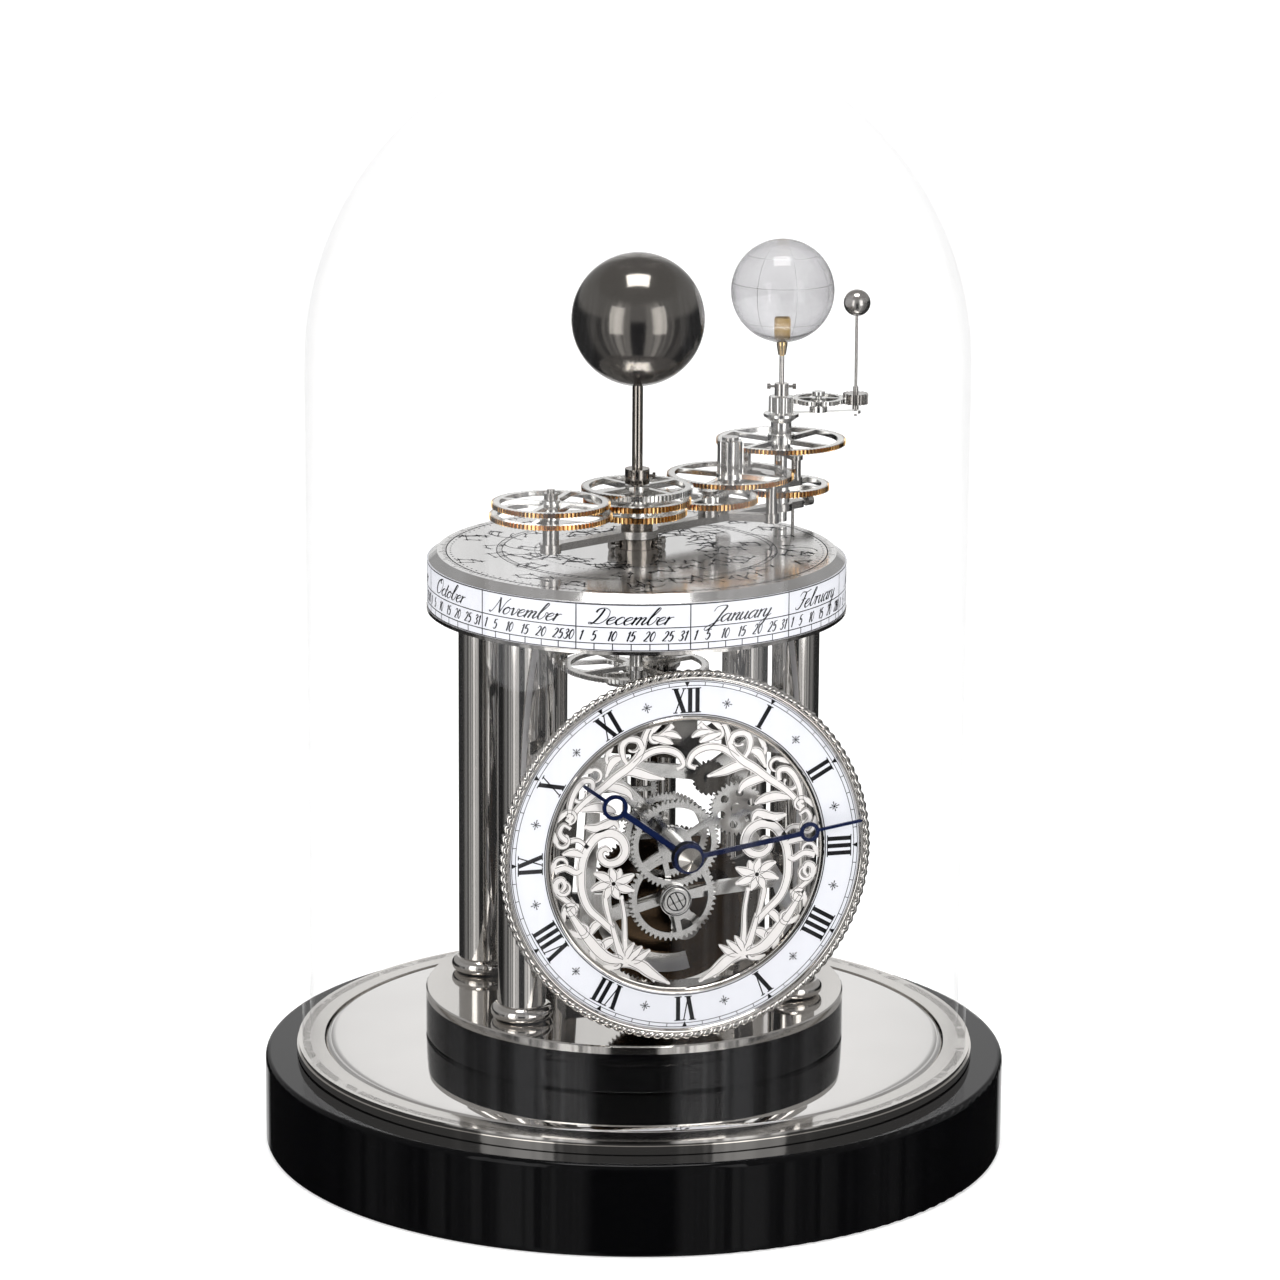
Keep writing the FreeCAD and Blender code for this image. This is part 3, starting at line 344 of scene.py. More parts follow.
def noise(tree, scale, detail=3.0, stretch=(1, 1, 1)):
    """Noise in the object's own coordinates, stretched along its axes."""
    place = node(tree, "ShaderNodeMapping", {0: object_place(tree), 3: stretch}).outputs[0]
    made = node(tree, "ShaderNodeTexNoise", {"Vector": place, "Scale": scale, "Detail": detail})
    return made.outputs[0]


def start_material(name):
    """New node material with its tree and its main shader."""
    material = bpy.data.materials.new(name)
    material.use_nodes = True
    tree = material.node_tree
    return material, tree, tree.nodes["Principled BSDF"]


def bump(tree, shader, height, strength, distance=0.0002):
    """Give a shader small relief."""
    made = node(tree, "ShaderNodeBump", {"Height": height, "Strength": strength, "Distance": distance})
    tree.links.new(made.outputs[0], shader.inputs["Normal"])


def metal(name, colour, low, high, scale=60.0, stretch=(1, 1, 1), relief_strength=0.04, tint=0.12,
          metallic=1.0):
    """Metal whose polish and colour vary a little, with fine relief from its finishing."""
    material, tree, shader = start_material(name)
    grain = noise(tree, scale, 4.0, stretch)
    cloud = noise(tree, 25.0)
    darker = tuple(channel * (1 - tint) for channel in colour)
    tree.links.new(blend_colours(tree, cloud, (*darker, 1), (*colour, 1)), shader.inputs["Base Color"])
    tree.links.new(spread(tree, grain, low, high), shader.inputs["Roughness"])
    shader.inputs["Metallic"].default_value = metallic
    bump(tree, shader, grain, relief_strength)
    return material


def print_ink():
    """Black printing ink."""
    material, tree, shader = start_material("print_ink")
    speckle = noise(tree, 900.0)
    tree.links.new(blend_colours(tree, speckle, (0.002, 0.002, 0.003, 1), (0.008, 0.008, 0.011, 1)),
                   shader.inputs["Base Color"])
    tree.links.new(spread(tree, speckle, 0.45, 0.65), shader.inputs["Roughness"])
    shader.inputs["Specular IOR Level"].default_value = 0.15
    return material


def lacquer_white(name):
    """White enamel with a very faint texture."""
    material, tree, shader = start_material(name)
    speckle = noise(tree, 400.0)
    paler = tuple(channel * 1.04 for channel in WHITE)
    tree.links.new(blend_colours(tree, speckle, (*WHITE, 1), (*paler, 1)), shader.inputs["Base Color"])
    tree.links.new(spread(tree, speckle, 0.42, 0.55), shader.inputs["Roughness"])
    shader.inputs["Specular IOR Level"].default_value = 0.2
    bump(tree, shader, speckle, 0.02)
    return material


def black_lacquer():
    """Deep polished piano lacquer."""
    material, tree, shader = start_material("black_lacquer")
    waves = noise(tree, 18.0)
    tree.links.new(blend_colours(tree, waves, (0.001, 0.001, 0.0012, 1), (0.002, 0.002, 0.0024, 1)),
                   shader.inputs["Base Color"])
    tree.links.new(spread(tree, waves, 0.03, 0.06), shader.inputs["Roughness"])
    shader.inputs["Specular IOR Level"].default_value = 0.12
    bump(tree, shader, waves, 0.015)
    return material


def thin_glass():
    """Clear blown dome: see-through, with reflections that grow towards its outline."""
    material, tree, shader = start_material("dome_glass")
    facing = node(tree, "ShaderNodeLayerWeight", {"Blend": 0.5}).outputs["Facing"]
    soft_edge = calculate(tree, "MULTIPLY", calculate(tree, "POWER", facing, 3.0), 0.09)
    hard_edge = calculate(tree, "POWER", facing, 10.0)
    outline = calculate(tree, "MULTIPLY_ADD", hard_edge, 0.24, soft_edge)
    shader.inputs["Base Color"].default_value = (0.8, 0.8, 0.82, 1)
    shader.inputs["Metallic"].default_value = 1.0
    ripples = noise(tree, 9.0, 2.0, (1, 1, 0.35))
    tree.links.new(spread(tree, ripples, 0.004, 0.012), shader.inputs["Roughness"])
    tree.links.new(calculate(tree, "ADD", outline, 0.02), shader.inputs["Alpha"])
    bump(tree, shader, ripples, 0.02)
    return material


def globe_glass():
    """Solid clear glass of the earth, painted darker towards its outline."""
    material, tree, shader = start_material("globe_glass")
    haze = noise(tree, 55.0, 4.0)
    facing = node(tree, "ShaderNodeLayerWeight", {"Blend": 0.5}).outputs["Facing"]
    # painted shade: the glass colour darkens towards the outline, standing in for the dark its edge
    # would show, with a little haze noise mixed in
    depth = calculate(tree, "MULTIPLY_ADD", haze, 0.3, calculate(tree, "POWER", facing, 2.0))
    tree.links.new(blend_colours(tree, depth, (0.60, 0.595, 0.61, 1), (0.16, 0.16, 0.165, 1)),
                   shader.inputs["Base Color"])
    tree.links.new(spread(tree, haze, 0.0, 0.03), shader.inputs["Roughness"])
    shader.inputs["Transmission Weight"].default_value = 1.0
    shader.inputs["IOR"].default_value = 1.45
    bump(tree, shader, haze, 0.03)
    return material


def blued_steel():
    """Steel blued by heat, with a slight drift of colour."""
    material, tree, shader = start_material("blued_steel")
    drift = noise(tree, 45.0)
    tree.links.new(blend_colours(tree, drift, (0.005, 0.007, 0.035, 1), (0.012, 0.026, 0.10, 1)),
                   shader.inputs["Base Color"])
    tree.links.new(spread(tree, drift, 0.16, 0.3), shader.inputs["Roughness"])
    shader.inputs["Metallic"].default_value = 1.0
    bump(tree, shader, drift, 0.03)
    return material


def gear_finish(name, axis, edge):
    """Silver wheel with brass teeth, darkened between them by painted shade.

    axis is the wheel's (x, y); edge is a radius just inside the foot of its teeth.
    """
    material, tree, shader = start_material(name)
    place = node(tree, "ShaderNodeSeparateXYZ", {0: object_place(tree)}).outputs
    squares = []
    for side, middle in zip(place, axis):
        run = calculate(tree, "SUBTRACT", side, middle * MM)
        squares.append(calculate(tree, "MULTIPLY", run, run))
    reach = calculate(tree, "SQRT", calculate(tree, "ADD", *squares))
    outside = calculate(tree, "GREATER_THAN", reach, edge * MM)
    inside = calculate(tree, "LESS_THAN", reach, (edge + TOOTH_DEPTH) * MM)
    toothed = calculate(tree, "MULTIPLY", outside, inside)
    tip = node(tree, "ShaderNodeMapRange",
               {0: reach, 1: (edge + ROOT_SHADE) * MM, 2: (edge + TIP_SHADE) * MM}).outputs[0]
    normal = node(tree, "ShaderNodeSeparateXYZ", {0: node(tree, "ShaderNodeTexCoord").outputs["Normal"]})
    upright = calculate(tree, "LESS_THAN", calculate(tree, "ABSOLUTE", normal.outputs[2]), 0.5)
    below = calculate(tree, "LESS_THAN", place[2], BRASS_TOP * MM)
    share = calculate(tree, "MULTIPLY", calculate(tree, "MULTIPLY", toothed, upright), below)
    grain = noise(tree, 300.0)
    # painted shade: the brass darkens towards the foot of the teeth, standing in for the shade in the
    # gaps between them
    painted_gap_shade = tuple(PAINTED_GAP_SHADE_TONE * channel for channel in GOLD)
    tooth = blend_colours(tree, tip, (*painted_gap_shade, 1), (*GOLD, 1))
    tree.links.new(blend_colours(tree, share, (*SILVER, 1), tooth), shader.inputs["Base Color"])
    tree.links.new(spread(tree, grain, 0.1, 0.2), shader.inputs["Roughness"])
    shader.inputs["Metallic"].default_value = 1.0
    bump(tree, shader, grain, 0.03)
    return material


def banded(name, colour, other_colour, low, high, roughness):
    """Metal that changes to another between two heights, in millimetres."""
    material, tree, shader = start_material(name)
    height = node(tree, "ShaderNodeSeparateXYZ", {0: object_place(tree)}).outputs[2]
    above = calculate(tree, "GREATER_THAN", height, low * MM)
    below = calculate(tree, "LESS_THAN", height, high * MM)
    share = calculate(tree, "MULTIPLY", above, below)
    grain = noise(tree, 250.0)
    tree.links.new(blend_colours(tree, share, (*colour, 1), (*other_colour, 1)),
                   shader.inputs["Base Color"])
    tree.links.new(spread(tree, grain, roughness * 0.7, roughness * 1.3), shader.inputs["Roughness"])
    shader.inputs["Metallic"].default_value = 1.0
    bump(tree, shader, grain, 0.03)
    return material


SILVER = (0.80, 0.79, 0.77)
NICKEL = (0.70, 0.675, 0.645)
GOLD = (0.84, 0.52, 0.22)
# tooth band, and where the painted shade between the teeth starts and stops, in millimetres beyond the
# given edge
TOOTH_DEPTH = 3.0
ROOT_SHADE = 0.25
TIP_SHADE = 0.6
# how dark the painted shade at the foot of the teeth is, as a share of the brass colour
PAINTED_GAP_SHADE_TONE = 0.38
# height of the moon arm's underside, above which nothing is brass
BRASS_TOP = 265.0
WHITE = (0.69, 0.70, 0.745)

INK = print_ink()
POLISHED = metal("polished_nickel", NICKEL, 0.04, 0.09, 30.0, (1, 1, 0.12), 0.01)
SATIN = metal("satin_steel", (0.52, 0.50, 0.48), 0.16, 0.28, 220.0)
# dark steel of the arbors, also laid on the movement back plate as painted shade
DARK_STEEL_AND_PAINTED_SHADE = metal("dark_steel", (0.075, 0.068, 0.06), 0.12, 0.22, 160.0)
MIRROR = metal("mirror_steel", (0.84, 0.82, 0.80), 0.015, 0.04, 12.0, relief_strength=0.01)
CHART = metal("chart_silver", (0.80, 0.79, 0.78), 0.1, 0.17, 120.0)
GEAR_SILVER = metal("gear_silver", SILVER, 0.1, 0.22, 260.0)
FRET_SILVER = metal("fret_silver", (0.90, 0.87, 0.85), 0.2, 0.3, 160.0, tint=0.06, metallic=0.45)
ENGRAVED = metal("engraved_metal", (0.03, 0.028, 0.026), 0.3, 0.5, 200.0)


def dress_nodes():
    """Give every CAD node that stays in sight its finish."""
    black = black_lacquer()
    white = lacquer_white("band_white")
    blued = blued_steel()
    stem = banded("earth_stem_metal", (0.6, 0.57, 0.54), (0.83, 0.6, 0.3), 292.8, 301, 0.16)
    bronze = metal("barrel_bronze", (0.11, 0.072, 0.042), 0.2, 0.32, 90.0, (1, 1, 0.08), 0.3, 0.8)
    finishes = {
        "base_plinth": black,
        "drum_base": black,
        "dome_seat_ring": POLISHED,
        "glass_dome": thin_glass(),
        "drum_deck": POLISHED,
        "calendar_ring": POLISHED,
        "calendar_band": white,
        "star_chart_plate": CHART,
        "hour_hand": blued,
        "minute_hand": blued,
        "hand_cap": metal("cap_steel", (0.55, 0.52, 0.48), 0.1, 0.2, 90.0),
        "sun_ball": metal("sun_chrome", (0.20, 0.187, 0.17), 0.10, 0.14, 20.0, relief_strength=0.0,
                          tint=0.05),
        "earth_globe": globe_glass(),
        "earth_stem": stem,
        "mainspring_barrel": bronze,
        "centre_hub": metal("hub_steel", (0.27, 0.245, 0.22), 0.07, 0.15, 120.0),
        "sun_stem": metal("stem_steel", (0.36, 0.33, 0.30), 0.06, 0.12, 120.0),
    }
    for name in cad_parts:
        if name.startswith("column_"):
            finishes[name] = POLISHED
    for name, (axis, edge) in BRASS_TEETH.items():
        finishes[name] = gear_finish(name + "_metal", axis, edge)
    for name in ("hub_thumbscrews", "movement_pillars", "drive_bracket", "moon_stem",
                 "moon_ball", "year_arm", "lower_bridge", "upper_bridge", "date_pointer"):
        finishes[name] = SATIN
    # the movement back plate is made dark as painted shade, standing in for the shade behind the dial;
    # the arbors are dark steel
    for name in ("vertical_arbor", "take_off_arbor", "winding_arbor", "movement_back_plate"):
        finishes[name] = DARK_STEEL_AND_PAINTED_SHADE
    for name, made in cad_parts.items():
        finish = finishes.get(name, GEAR_SILVER)
        made.data.materials.clear()
        made.data.materials.append(finish)


def arm_point(out, across=0.0):
    """Place of a point of the year arm in the object's frame."""
    angle = math.radians(ARM_TURN)
    return (out * math.cos(angle) - across * math.sin(angle),
            out * math.sin(angle) + across * math.cos(angle))


# axis of each brass-toothed wheel, and a radius just inside the foot of its teeth
BRASS_TEETH = {
    "fixed_wheel": (arm_point(0), 17.5),
    "input_wheel": (arm_point(0), 19.0),
    "reduction_wheels": (arm_point(-42), 20.7),
    "idler_wheel": (arm_point(36.25), 17.2),
    "earth_wheel": (arm_point(EARTH_OUT), 17.5),
    "moon_drive_wheel": (arm_point(43.9, -2.94), 22.7),
    "moon_carrier": (arm_point(EARTH_OUT), 23.5),
}


# ---------------------------------------------------------------- lettering
BOWL = ((0.75, 0.85), (0.45, 1), (0.1, 0.7), (0.05, 0.3), (0.3, 0), (0.6, 0.3), (0.8, 0.95))
ASCENDER = ((0, 0.2), (0.35, 1.2), (0.6, 2), (0.45, 2.2), (0.3, 1.8))
LEAD_IN = ((0, 0.8), (0.15, 1), (0.1, 0))
HALF_ARCH = ((0.12, 0.4), (0.4, 0.95), (0.6, 0.9), (0.5, 0))
DIP = ((0.1, 1), (0.05, 0.3), (0.25, 0), (0.6, 0.5))
# each letter is its width and its pen strokes, small letters 1 high and capitals 2.1
LETTERS = {
    "a": (1.05, BOWL, ((0.8, 1), (0.75, 0.3), (0.9, 0.02), (1.15, 0.25))),
    "b": (0.95, (*ASCENDER, (0.15, 0.6), (0.3, 0.05), (0.6, 0.1), (0.8, 0.6), (0.75, 0.95), (1, 0.9))),
    "c": (0.8, ((0.7, 0.75), (0.6, 0.98), (0.35, 0.95), (0.08, 0.5), (0.3, 0.02), (0.6, 0.1),
                (0.85, 0.35))),
    "e": (0.8, ((0.05, 0.4), (0.5, 0.6), (0.65, 0.85), (0.45, 1), (0.15, 0.75), (0.08, 0.35), (0.3, 0),
                (0.6, 0.1), (0.85, 0.35))),
    "g": (1.05, BOWL, ((0.8, 1), (0.7, 0), (0.55, -0.8), (0.25, -1), (0.15, -0.7), (0.6, -0.2),
                       (1.1, 0.25))),
    "h": (0.95, (*ASCENDER, (0.1, 0)), ((0.15, 0.45), (0.45, 0.95), (0.7, 0.85), (0.62, 0.3), (0.75, 0),
                                        (1, 0.25))),
    "i": (0.45, ((0.1, 1), (0.05, 0.3), (0.2, 0), (0.45, 0.25)), ((0.2, 1.6), (0.16, 1.42))),
    "l": (0.5, ((0, 0.25), (0.35, 1.2), (0.55, 2), (0.42, 2.2), (0.25, 1.7), (0.1, 0.4), (0.25, 0),
                (0.5, 0.25))),
    "m": (1.3, LEAD_IN, HALF_ARCH, ((0.52, 0.4), (0.85, 0.95), (1.05, 0.85), (0.97, 0.3), (1.1, 0),
                                    (1.3, 0.25))),
    "n": (0.9, LEAD_IN, ((0.12, 0.4), (0.45, 0.95), (0.65, 0.85), (0.57, 0.3), (0.7, 0), (0.9, 0.25))),
    "o": (0.85, ((0.4, 1), (0.1, 0.7), (0.08, 0.25), (0.35, 0), (0.65, 0.3), (0.65, 0.75), (0.4, 1),
                 (0.6, 0.85), (0.9, 0.85))),
    "p": (0.85, ((0, 0.8), (0.2, 1), (0.1, 0.2), (-0.1, -0.95)),
          ((0.12, 0.4), (0.4, 0.95), (0.7, 0.8), (0.65, 0.25), (0.4, 0), (0.15, 0.15))),
    "r": (0.65, LEAD_IN, ((0.12, 0.4), (0.35, 0.9), (0.6, 0.95))),
    "s": (0.65, ((0, 0.2), (0.4, 1.05), (0.55, 0.5), (0.4, 0.05), (0.1, 0.1))),
    "t": (0.5, ((0.25, 1.7), (0.1, 0.4), (0.25, 0), (0.5, 0.25)), ((0, 1.05), (0.5, 1.05))),
    "u": (0.95, DIP, ((0.65, 1), (0.6, 0.3), (0.75, 0), (1, 0.25))),
    "v": (0.8, ((0, 0.85), (0.15, 1), (0.25, 0.3), (0.35, 0.02), (0.65, 0.5), (0.65, 0.95),
                (0.85, 0.9))),
    "y": (0.95, DIP, ((0.65, 1), (0.55, 0), (0.4, -0.8), (0.15, -1), (0.05, -0.7), (0.5, -0.15),
                      (0.95, 0.25))),
    "A": (1.6, ((0, 0.15), (0.25, 0), (0.7, 0.9), (1.15, 2.1)),
          ((1.15, 2.1), (1.15, 0.3), (1.3, 0), (1.55, 0.25)), ((0.5, 0.8), (1.25, 0.75))),
    "D": (1.6, ((0.75, 2), (0.7, 1), (0.45, 0.1), (0.1, 0), (0.05, 0.2), (0.5, 0.1), (1.1, 0.1),
                (1.5, 0.8), (1.35, 1.7), (0.8, 2.1), (0.25, 1.95), (0.15, 1.5))),
    "F": (1.3, ((0.1, 1.6), (0.3, 2.05), (1, 1.95), (1.6, 2.15)),
          ((0.95, 1.9), (0.85, 0.9), (0.6, 0.1), (0.2, 0), (0, 0.3)), ((0.55, 1.05), (1.2, 1.15))),
    "J": (1.25, ((0.1, 1.4), (0.2, 1.95), (0.8, 2.1), (1.2, 1.9), (1, 1), (0.8, -0.2), (0.5, -0.9),
                 (0.15, -0.9), (0.15, -0.55), (0.7, -0.1), (1.2, 0.25))),
    "M": (1.9, ((0, 0.2), (0.15, 0), (0.45, 0.6), (0.75, 2)), ((0.75, 2.1), (0.85, 0.1)),
          ((0.85, 0.1), (1.5, 2.1)), ((1.5, 2.1), (1.45, 0.3), (1.6, 0), (1.85, 0.25))),
    "N": (1.6, ((0, 0.2), (0.2, 0), (0.45, 0.6), (0.65, 2)), ((0.6, 2.1), (1.25, 0.05)),
          ((1.25, 0.05), (1.45, 1.5), (1.75, 2.15))),
    "O": (1.35, ((0.75, 2.1), (0.2, 1.7), (0.05, 0.8), (0.4, 0.05), (1, 0.2), (1.3, 1.1), (1.1, 1.95),
                 (0.75, 2.1), (0.6, 1.7), (0.95, 1.5))),
    "S": (1.2, ((1.15, 1.6), (1.05, 2.05), (0.6, 2.05), (0.45, 1.55), (0.85, 1.1), (0.9, 0.5), (0.5, 0),
                (0.1, 0.15), (0.1, 0.5))),
    "0": (1.3, ((0.55, 2.1), (0.15, 1.5), (0.15, 0.6), (0.55, 0), (0.95, 0.6), (0.95, 1.5),
                (0.55, 2.1))),
    "1": (0.85, ((0.1, 1.65), (0.45, 2.1)), ((0.45, 2.1), (0.42, 0))),
    "2": (1.3, ((0.15, 1.6), (0.5, 2.1), (0.95, 1.7), (0.7, 0.9), (0.1, 0.05)),
          ((0.1, 0.08), (1, 0.08))),
    "3": (1.25, ((0.2, 1.75), (0.55, 2.1), (0.9, 1.65), (0.45, 1.15)),
          ((0.45, 1.15), (0.95, 0.8), (0.8, 0.15), (0.4, 0), (0.1, 0.35))),
    "5": (1.25, ((0.3, 2.05), (0.2, 1.15), (0.65, 1.3), (0.95, 0.8), (0.75, 0.15), (0.35, 0),
                 (0.1, 0.3)), ((0.3, 2.05), (0.95, 2.1))),
    "8": (1.3, ((0.55, 2.1), (0.2, 1.65), (0.85, 0.85), (0.75, 0.1), (0.35, 0), (0.15, 0.5), (0.9, 1.5),
                (0.55, 2.1))),
}


def pen_widths(path, thin, thick):
    """Pen widths along a path: thick where the pen comes down."""
    return [thin + (thick - thin) * max(0.0, across) for across, _ in sides_of(path)]


def write(shape, text, middle, baseline, size, stretch, slant, pen):
    """Write slanted lettering on the calendar band, centred on middle."""
    width = sum(LETTERS[letter][0] for letter in text)
    start = -width / 2
    for letter in text:
        advance, *strokes = LETTERS[letter]
        for stroke in strokes:
            points = [(middle + size * (stretch * (start + x) + slant * y), baseline + size * y)
                      for x, y in stroke]
            path = smooth_path(points, 4)
            strip(shape, path, pen_widths(path, *pen), on_band)
        start += advance


# ---------------------------------------------------------------- dial
def make_chapter_ring():
    """White ring that carries the hours."""
    ring = Shape()
    edge = DIAL_FRONT - RING_BEVEL
    revolve(ring, [(RING_INNER, RING_BACK), (RING_INNER, edge), (RING_INNER + RING_BEVEL, DIAL_FRONT),
                   (RING_OUTER - RING_BEVEL, DIAL_FRONT), (RING_OUTER, edge), (RING_OUTER, RING_BACK)],
            on_dial)
    made = piece("chapter_ring", ring, lacquer_white("dial_white"), "case")
    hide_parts("dial_plate")


def upright_on_dial(hour_angle):
    """Placing rule for print whose feet point at the middle of the dial."""
    angle = math.radians(hour_angle)

    def place(x, y):
        return on_dial(x * math.cos(angle) + y * math.sin(angle),
                       y * math.cos(angle) - x * math.sin(angle), DIAL_FRONT + LIFT)
    return place


def roman_strokes(numeral):
    """Width of a Roman numeral, and the foot, head and width of each stroke from its left end."""
    strokes = []
    start = 0.0
    for letter in numeral:
        advance, lines = ROMAN[letter]
        strokes += [(start + foot, start + head, width) for foot, head, width in lines]
        start += advance
    return start, strokes


def print_numeral(shape, numeral, place):
    """Print one Roman numeral with hairline serifs."""
    width, strokes = roman_strokes(numeral)
    for foot, head, thickness in strokes:
        foot -= width / 2
        head -= width / 2
        line(shape, [(foot, NUMERAL_FOOT), (head, NUMERAL_HEAD)], thickness, place)
        for middle, height in ((foot, NUMERAL_FOOT), (head, NUMERAL_HEAD)):
            reach = thickness / 2 + SERIF_REACH
            line(shape, [(middle - reach, height), (middle + reach, height)], SERIF_WIDTH, place)


def print_star(shape, place):
    """Print the small eight-armed star between two hours."""
    for turn in range(0, 180, 45):
        x, y = polar(STAR_ARM if turn % 90 == 0 else STAR_SHORT_ARM, turn)
        path = [(-x, STAR_RADIUS - y), (0.0, STAR_RADIUS), (x, STAR_RADIUS + y)]
        strip(shape, path, STAR_WIDTHS, place)


def make_dial_print():
    """Hours, stars and minute track."""
    shape = Shape()
    upright = upright_on_dial(0)
    for radius in (TRACK_INNER, TRACK_OUTER):
        line(shape, arc(radius, 0, 360), TRACK_WIDTH, upright)
    for minute in range(60):
        place = upright_on_dial(6 * minute)
        line(shape, [(0, TRACK_INNER), (0, TRACK_OUTER)], MINUTE_WIDTH, place)
        if minute % 5 == 0:
            strip(shape, [(0, TRACK_INNER - MARKER_FOOT), (0, TRACK_OUTER)], MARKER_WIDTHS, place)
    for radius in (RING_INNER + BORDER_INSET, RING_OUTER - BORDER_INSET):
        line(shape, arc(radius, 0, 360), BORDER_WIDTH, upright)
    for hour, numeral in enumerate(NUMERALS, 1):
        print_numeral(shape, numeral, upright_on_dial(30 * hour))
        print_star(shape, upright_on_dial(30 * hour + 15))
    piece("dial_print", shape, INK, "case")


def make_bezel():
    """Polished ring inside a twisted rope of metal."""
    ring = Shape()
    revolve(ring, BEZEL_OUTLINE, on_dial)
    piece("bezel_ring", ring, POLISHED, "case", smooth=True)
    rope = Shape()
    for step in range(ROPE_STEPS):
        angle = 360 * step / ROPE_STEPS
        for side in range(ROPE_SIDES):
            turn = 360 * side / ROPE_SIDES
            swell = 1 + ROPE_SWELL * math.cos(math.radians(2 * turn - ROPE_TWISTS * angle))
            out, up = polar(ROPE_RADIUS * swell, turn)
            rope.corners.append(on_dial(*polar(ROPE_CENTRE + out, angle), ROPE_DEPTH + up))
    for step in range(ROPE_STEPS):
        start = step * ROPE_SIDES
        after = (step + 1) % ROPE_STEPS * ROPE_SIDES
        for side in range(ROPE_SIDES):
            other = (side + 1) % ROPE_SIDES
            rope.faces.append((start + side, start + other, after + other, after + side))
    made = piece("bezel_rope", rope, POLISHED, "case", smooth=True)
    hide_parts("dial_bezel")


def make_inner_rim():
    """Double-lined rim round the opening."""
    rim = Shape()
    revolve(rim, RIM_OUTLINE, on_dial)
    made = piece("inner_rim", rim, POLISHED, "case")
    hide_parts("dial_inner_rim")


FRET_BACK = 72.5
FRET_TOP = 73.4
# curls that hold the fretwork to the rim
CURL_TURNS = range(-56, 82, 11)
CURL_FOOT = 51.0
CURL_MIDDLE = 46.6
CURL_RADIUS = 2.4
CURL_SWEEP = 230
CURL_WIDTHS = (1.9, 1.7, 0.8)
# widths at foot, middle and tip, then the middle line of each scroll of the right half
FRET_SCROLLS = (
    ((2.4, 1.8, 1.4), ((22, -38), (22.5, -30), (22.7, -22), (24, -14))),
    ((1.5, 2.2, 1.4), ((27, -27), (29, -20), (30, -14), (29, -11))),
    ((3.0, 2.6, 1.6), ((22, -39), (24, -36), (26, -30), (27.5, -24))),
    ((2.4, 3.6, 1.8), ((27, -27), (31, -23), (36, -18), (38.5, -12), (39, -6), (38.5, 0),
                       (36.5, 5), (33, 9), (28, 10), (24, 7.5), (22.5, 3), (24.5, -0.5),
                       (28.5, -1.5), (31.5, 0.5), (31.8, 3.2), (29.8, 4.2), (28.5, 3))),
    ((2.0, 3.2, 2.0), ((44, 15), (40, 20), (36, 23.5), (31, 27), (26, 31), (21.5, 34), (18, 37.5),
                       (16.5, 41), (15.5, 45), (14, 48.5))),
    ((2.4, 2.6, 1.4), ((20, 34.5), (14, 39), (8, 40), (3, 38), (1, 34), (3.5, 32.5))),
    ((2.2, 2.6, 1.6), ((16.5, 41), (18, 44), (22, 44.5), (24, 42), (23.5, 38), (22, 35.5))),
    ((1.8, 2.6, 1.8), ((35, 26), (35, 29.5), (38, 30), (41, 27), (43, 22), (43.5, 17))),
    ((2.0, 2.4, 2.4), ((39, -3), (41, -4), (45, -2), (49, -3))),
    ((1.8, 2.6, 1.2), ((41, -17), (45, -14), (48, -11), (48.3, -7.5), (46, -6.5), (45, -9),
                       (46.5, -11))),
    ((1.8, 2.4, 1.4), ((24, -40), (20, -40.5), (15, -43), (11, -47))),
    ((1.8, 2.2, 1.8), ((15.5, 45), (10, 45), (5, 49))),
    ((1.4, 2.2, 1.2), ((36.5, 5), (40, 8), (44, 8), (47, 11), (45.5, 14), (43, 12.5))),
)
# width, foot, bend and tip of each leaf of the right half
FRET_LEAVES = (
    (4.2, ((22, -39), (30, -36.5), (38, -27), (45, -16))),
    (4.2, ((22, -39), (17, -40.5), (12, -44.5), (5.5, -48.5))),
    (3.0, ((20, -39.5), (17, -38), (13, -35))),
    (3.0, ((21, -38.5), (19, -36.5), (16, -33.5))),
    (2.8, ((22, -37.5), (21, -35), (19, -32))),
    (3.6, ((25, 32), (20, 32.5), (14, 30.5), (8, 29))),
    (3.6, ((31, 27), (27, 27), (22, 25), (20, 22))),
    (3.6, ((40, 19), (34, 20), (29, 19), (26, 17.5))),
    (3.6, ((38, 13), (33, 12), (27, 14), (25, 11))),
    (3.4, ((24, 38), (27.5, 36.5), (30, 31))),
    (3.2, ((40, -16), (42.5, -19), (45, -19))),
    (3.0, ((13, 45), (8, 43.5), (5, 42))),
    (2.6, ((9, 46), (5, 45.5), (2, 44))),
    (3.0, ((38, 2), (42, 3.5), (46, 3))),
    (3.0, ((31, -23), (34, -25), (36, -29))),
    (3.4, ((26, -30), (30, -32), (32, -36))),
)
FRET_FULLNESS = 1.12
FRET_STEP = 0.03
FRET_LEVELS = 9
CUT_SIDES = (0.37, -0.37)
CUT_WIDTH = 0.2
FLOWER = (27.0, -9.0)
FLOWER_HEART = 0.8
FLOWER_RISE = 0.4
PETAL_WIDTH = 3.7
# direction and reach of each petal
FLOWER_PETALS = ((160, 8.4), (202, 8.6), (250, 6.4), (296, 6.6), (345, 8.6), (30, 8.4), (80, 6.0),
                 (118, 6.0))


def leaf_widths(count, width):
    """Widths of a leaf from its foot to its point."""
    return [width * (0.12 + 0.88 * math.sin(math.pi * (i / (count - 1)) ** 0.85)) for i in range(count)]


def scroll_widths(count, foot, middle, tip):
    """Widths of a scroll, from three given ones."""
    widths = []
    for i in range(count):
        share = 2 * i / (count - 1)
        start, end = (foot, middle) if share < 1 else (middle, tip)
        widths.append(start + (end - start) * (share % 1 if share < 2 else 1))
    return widths


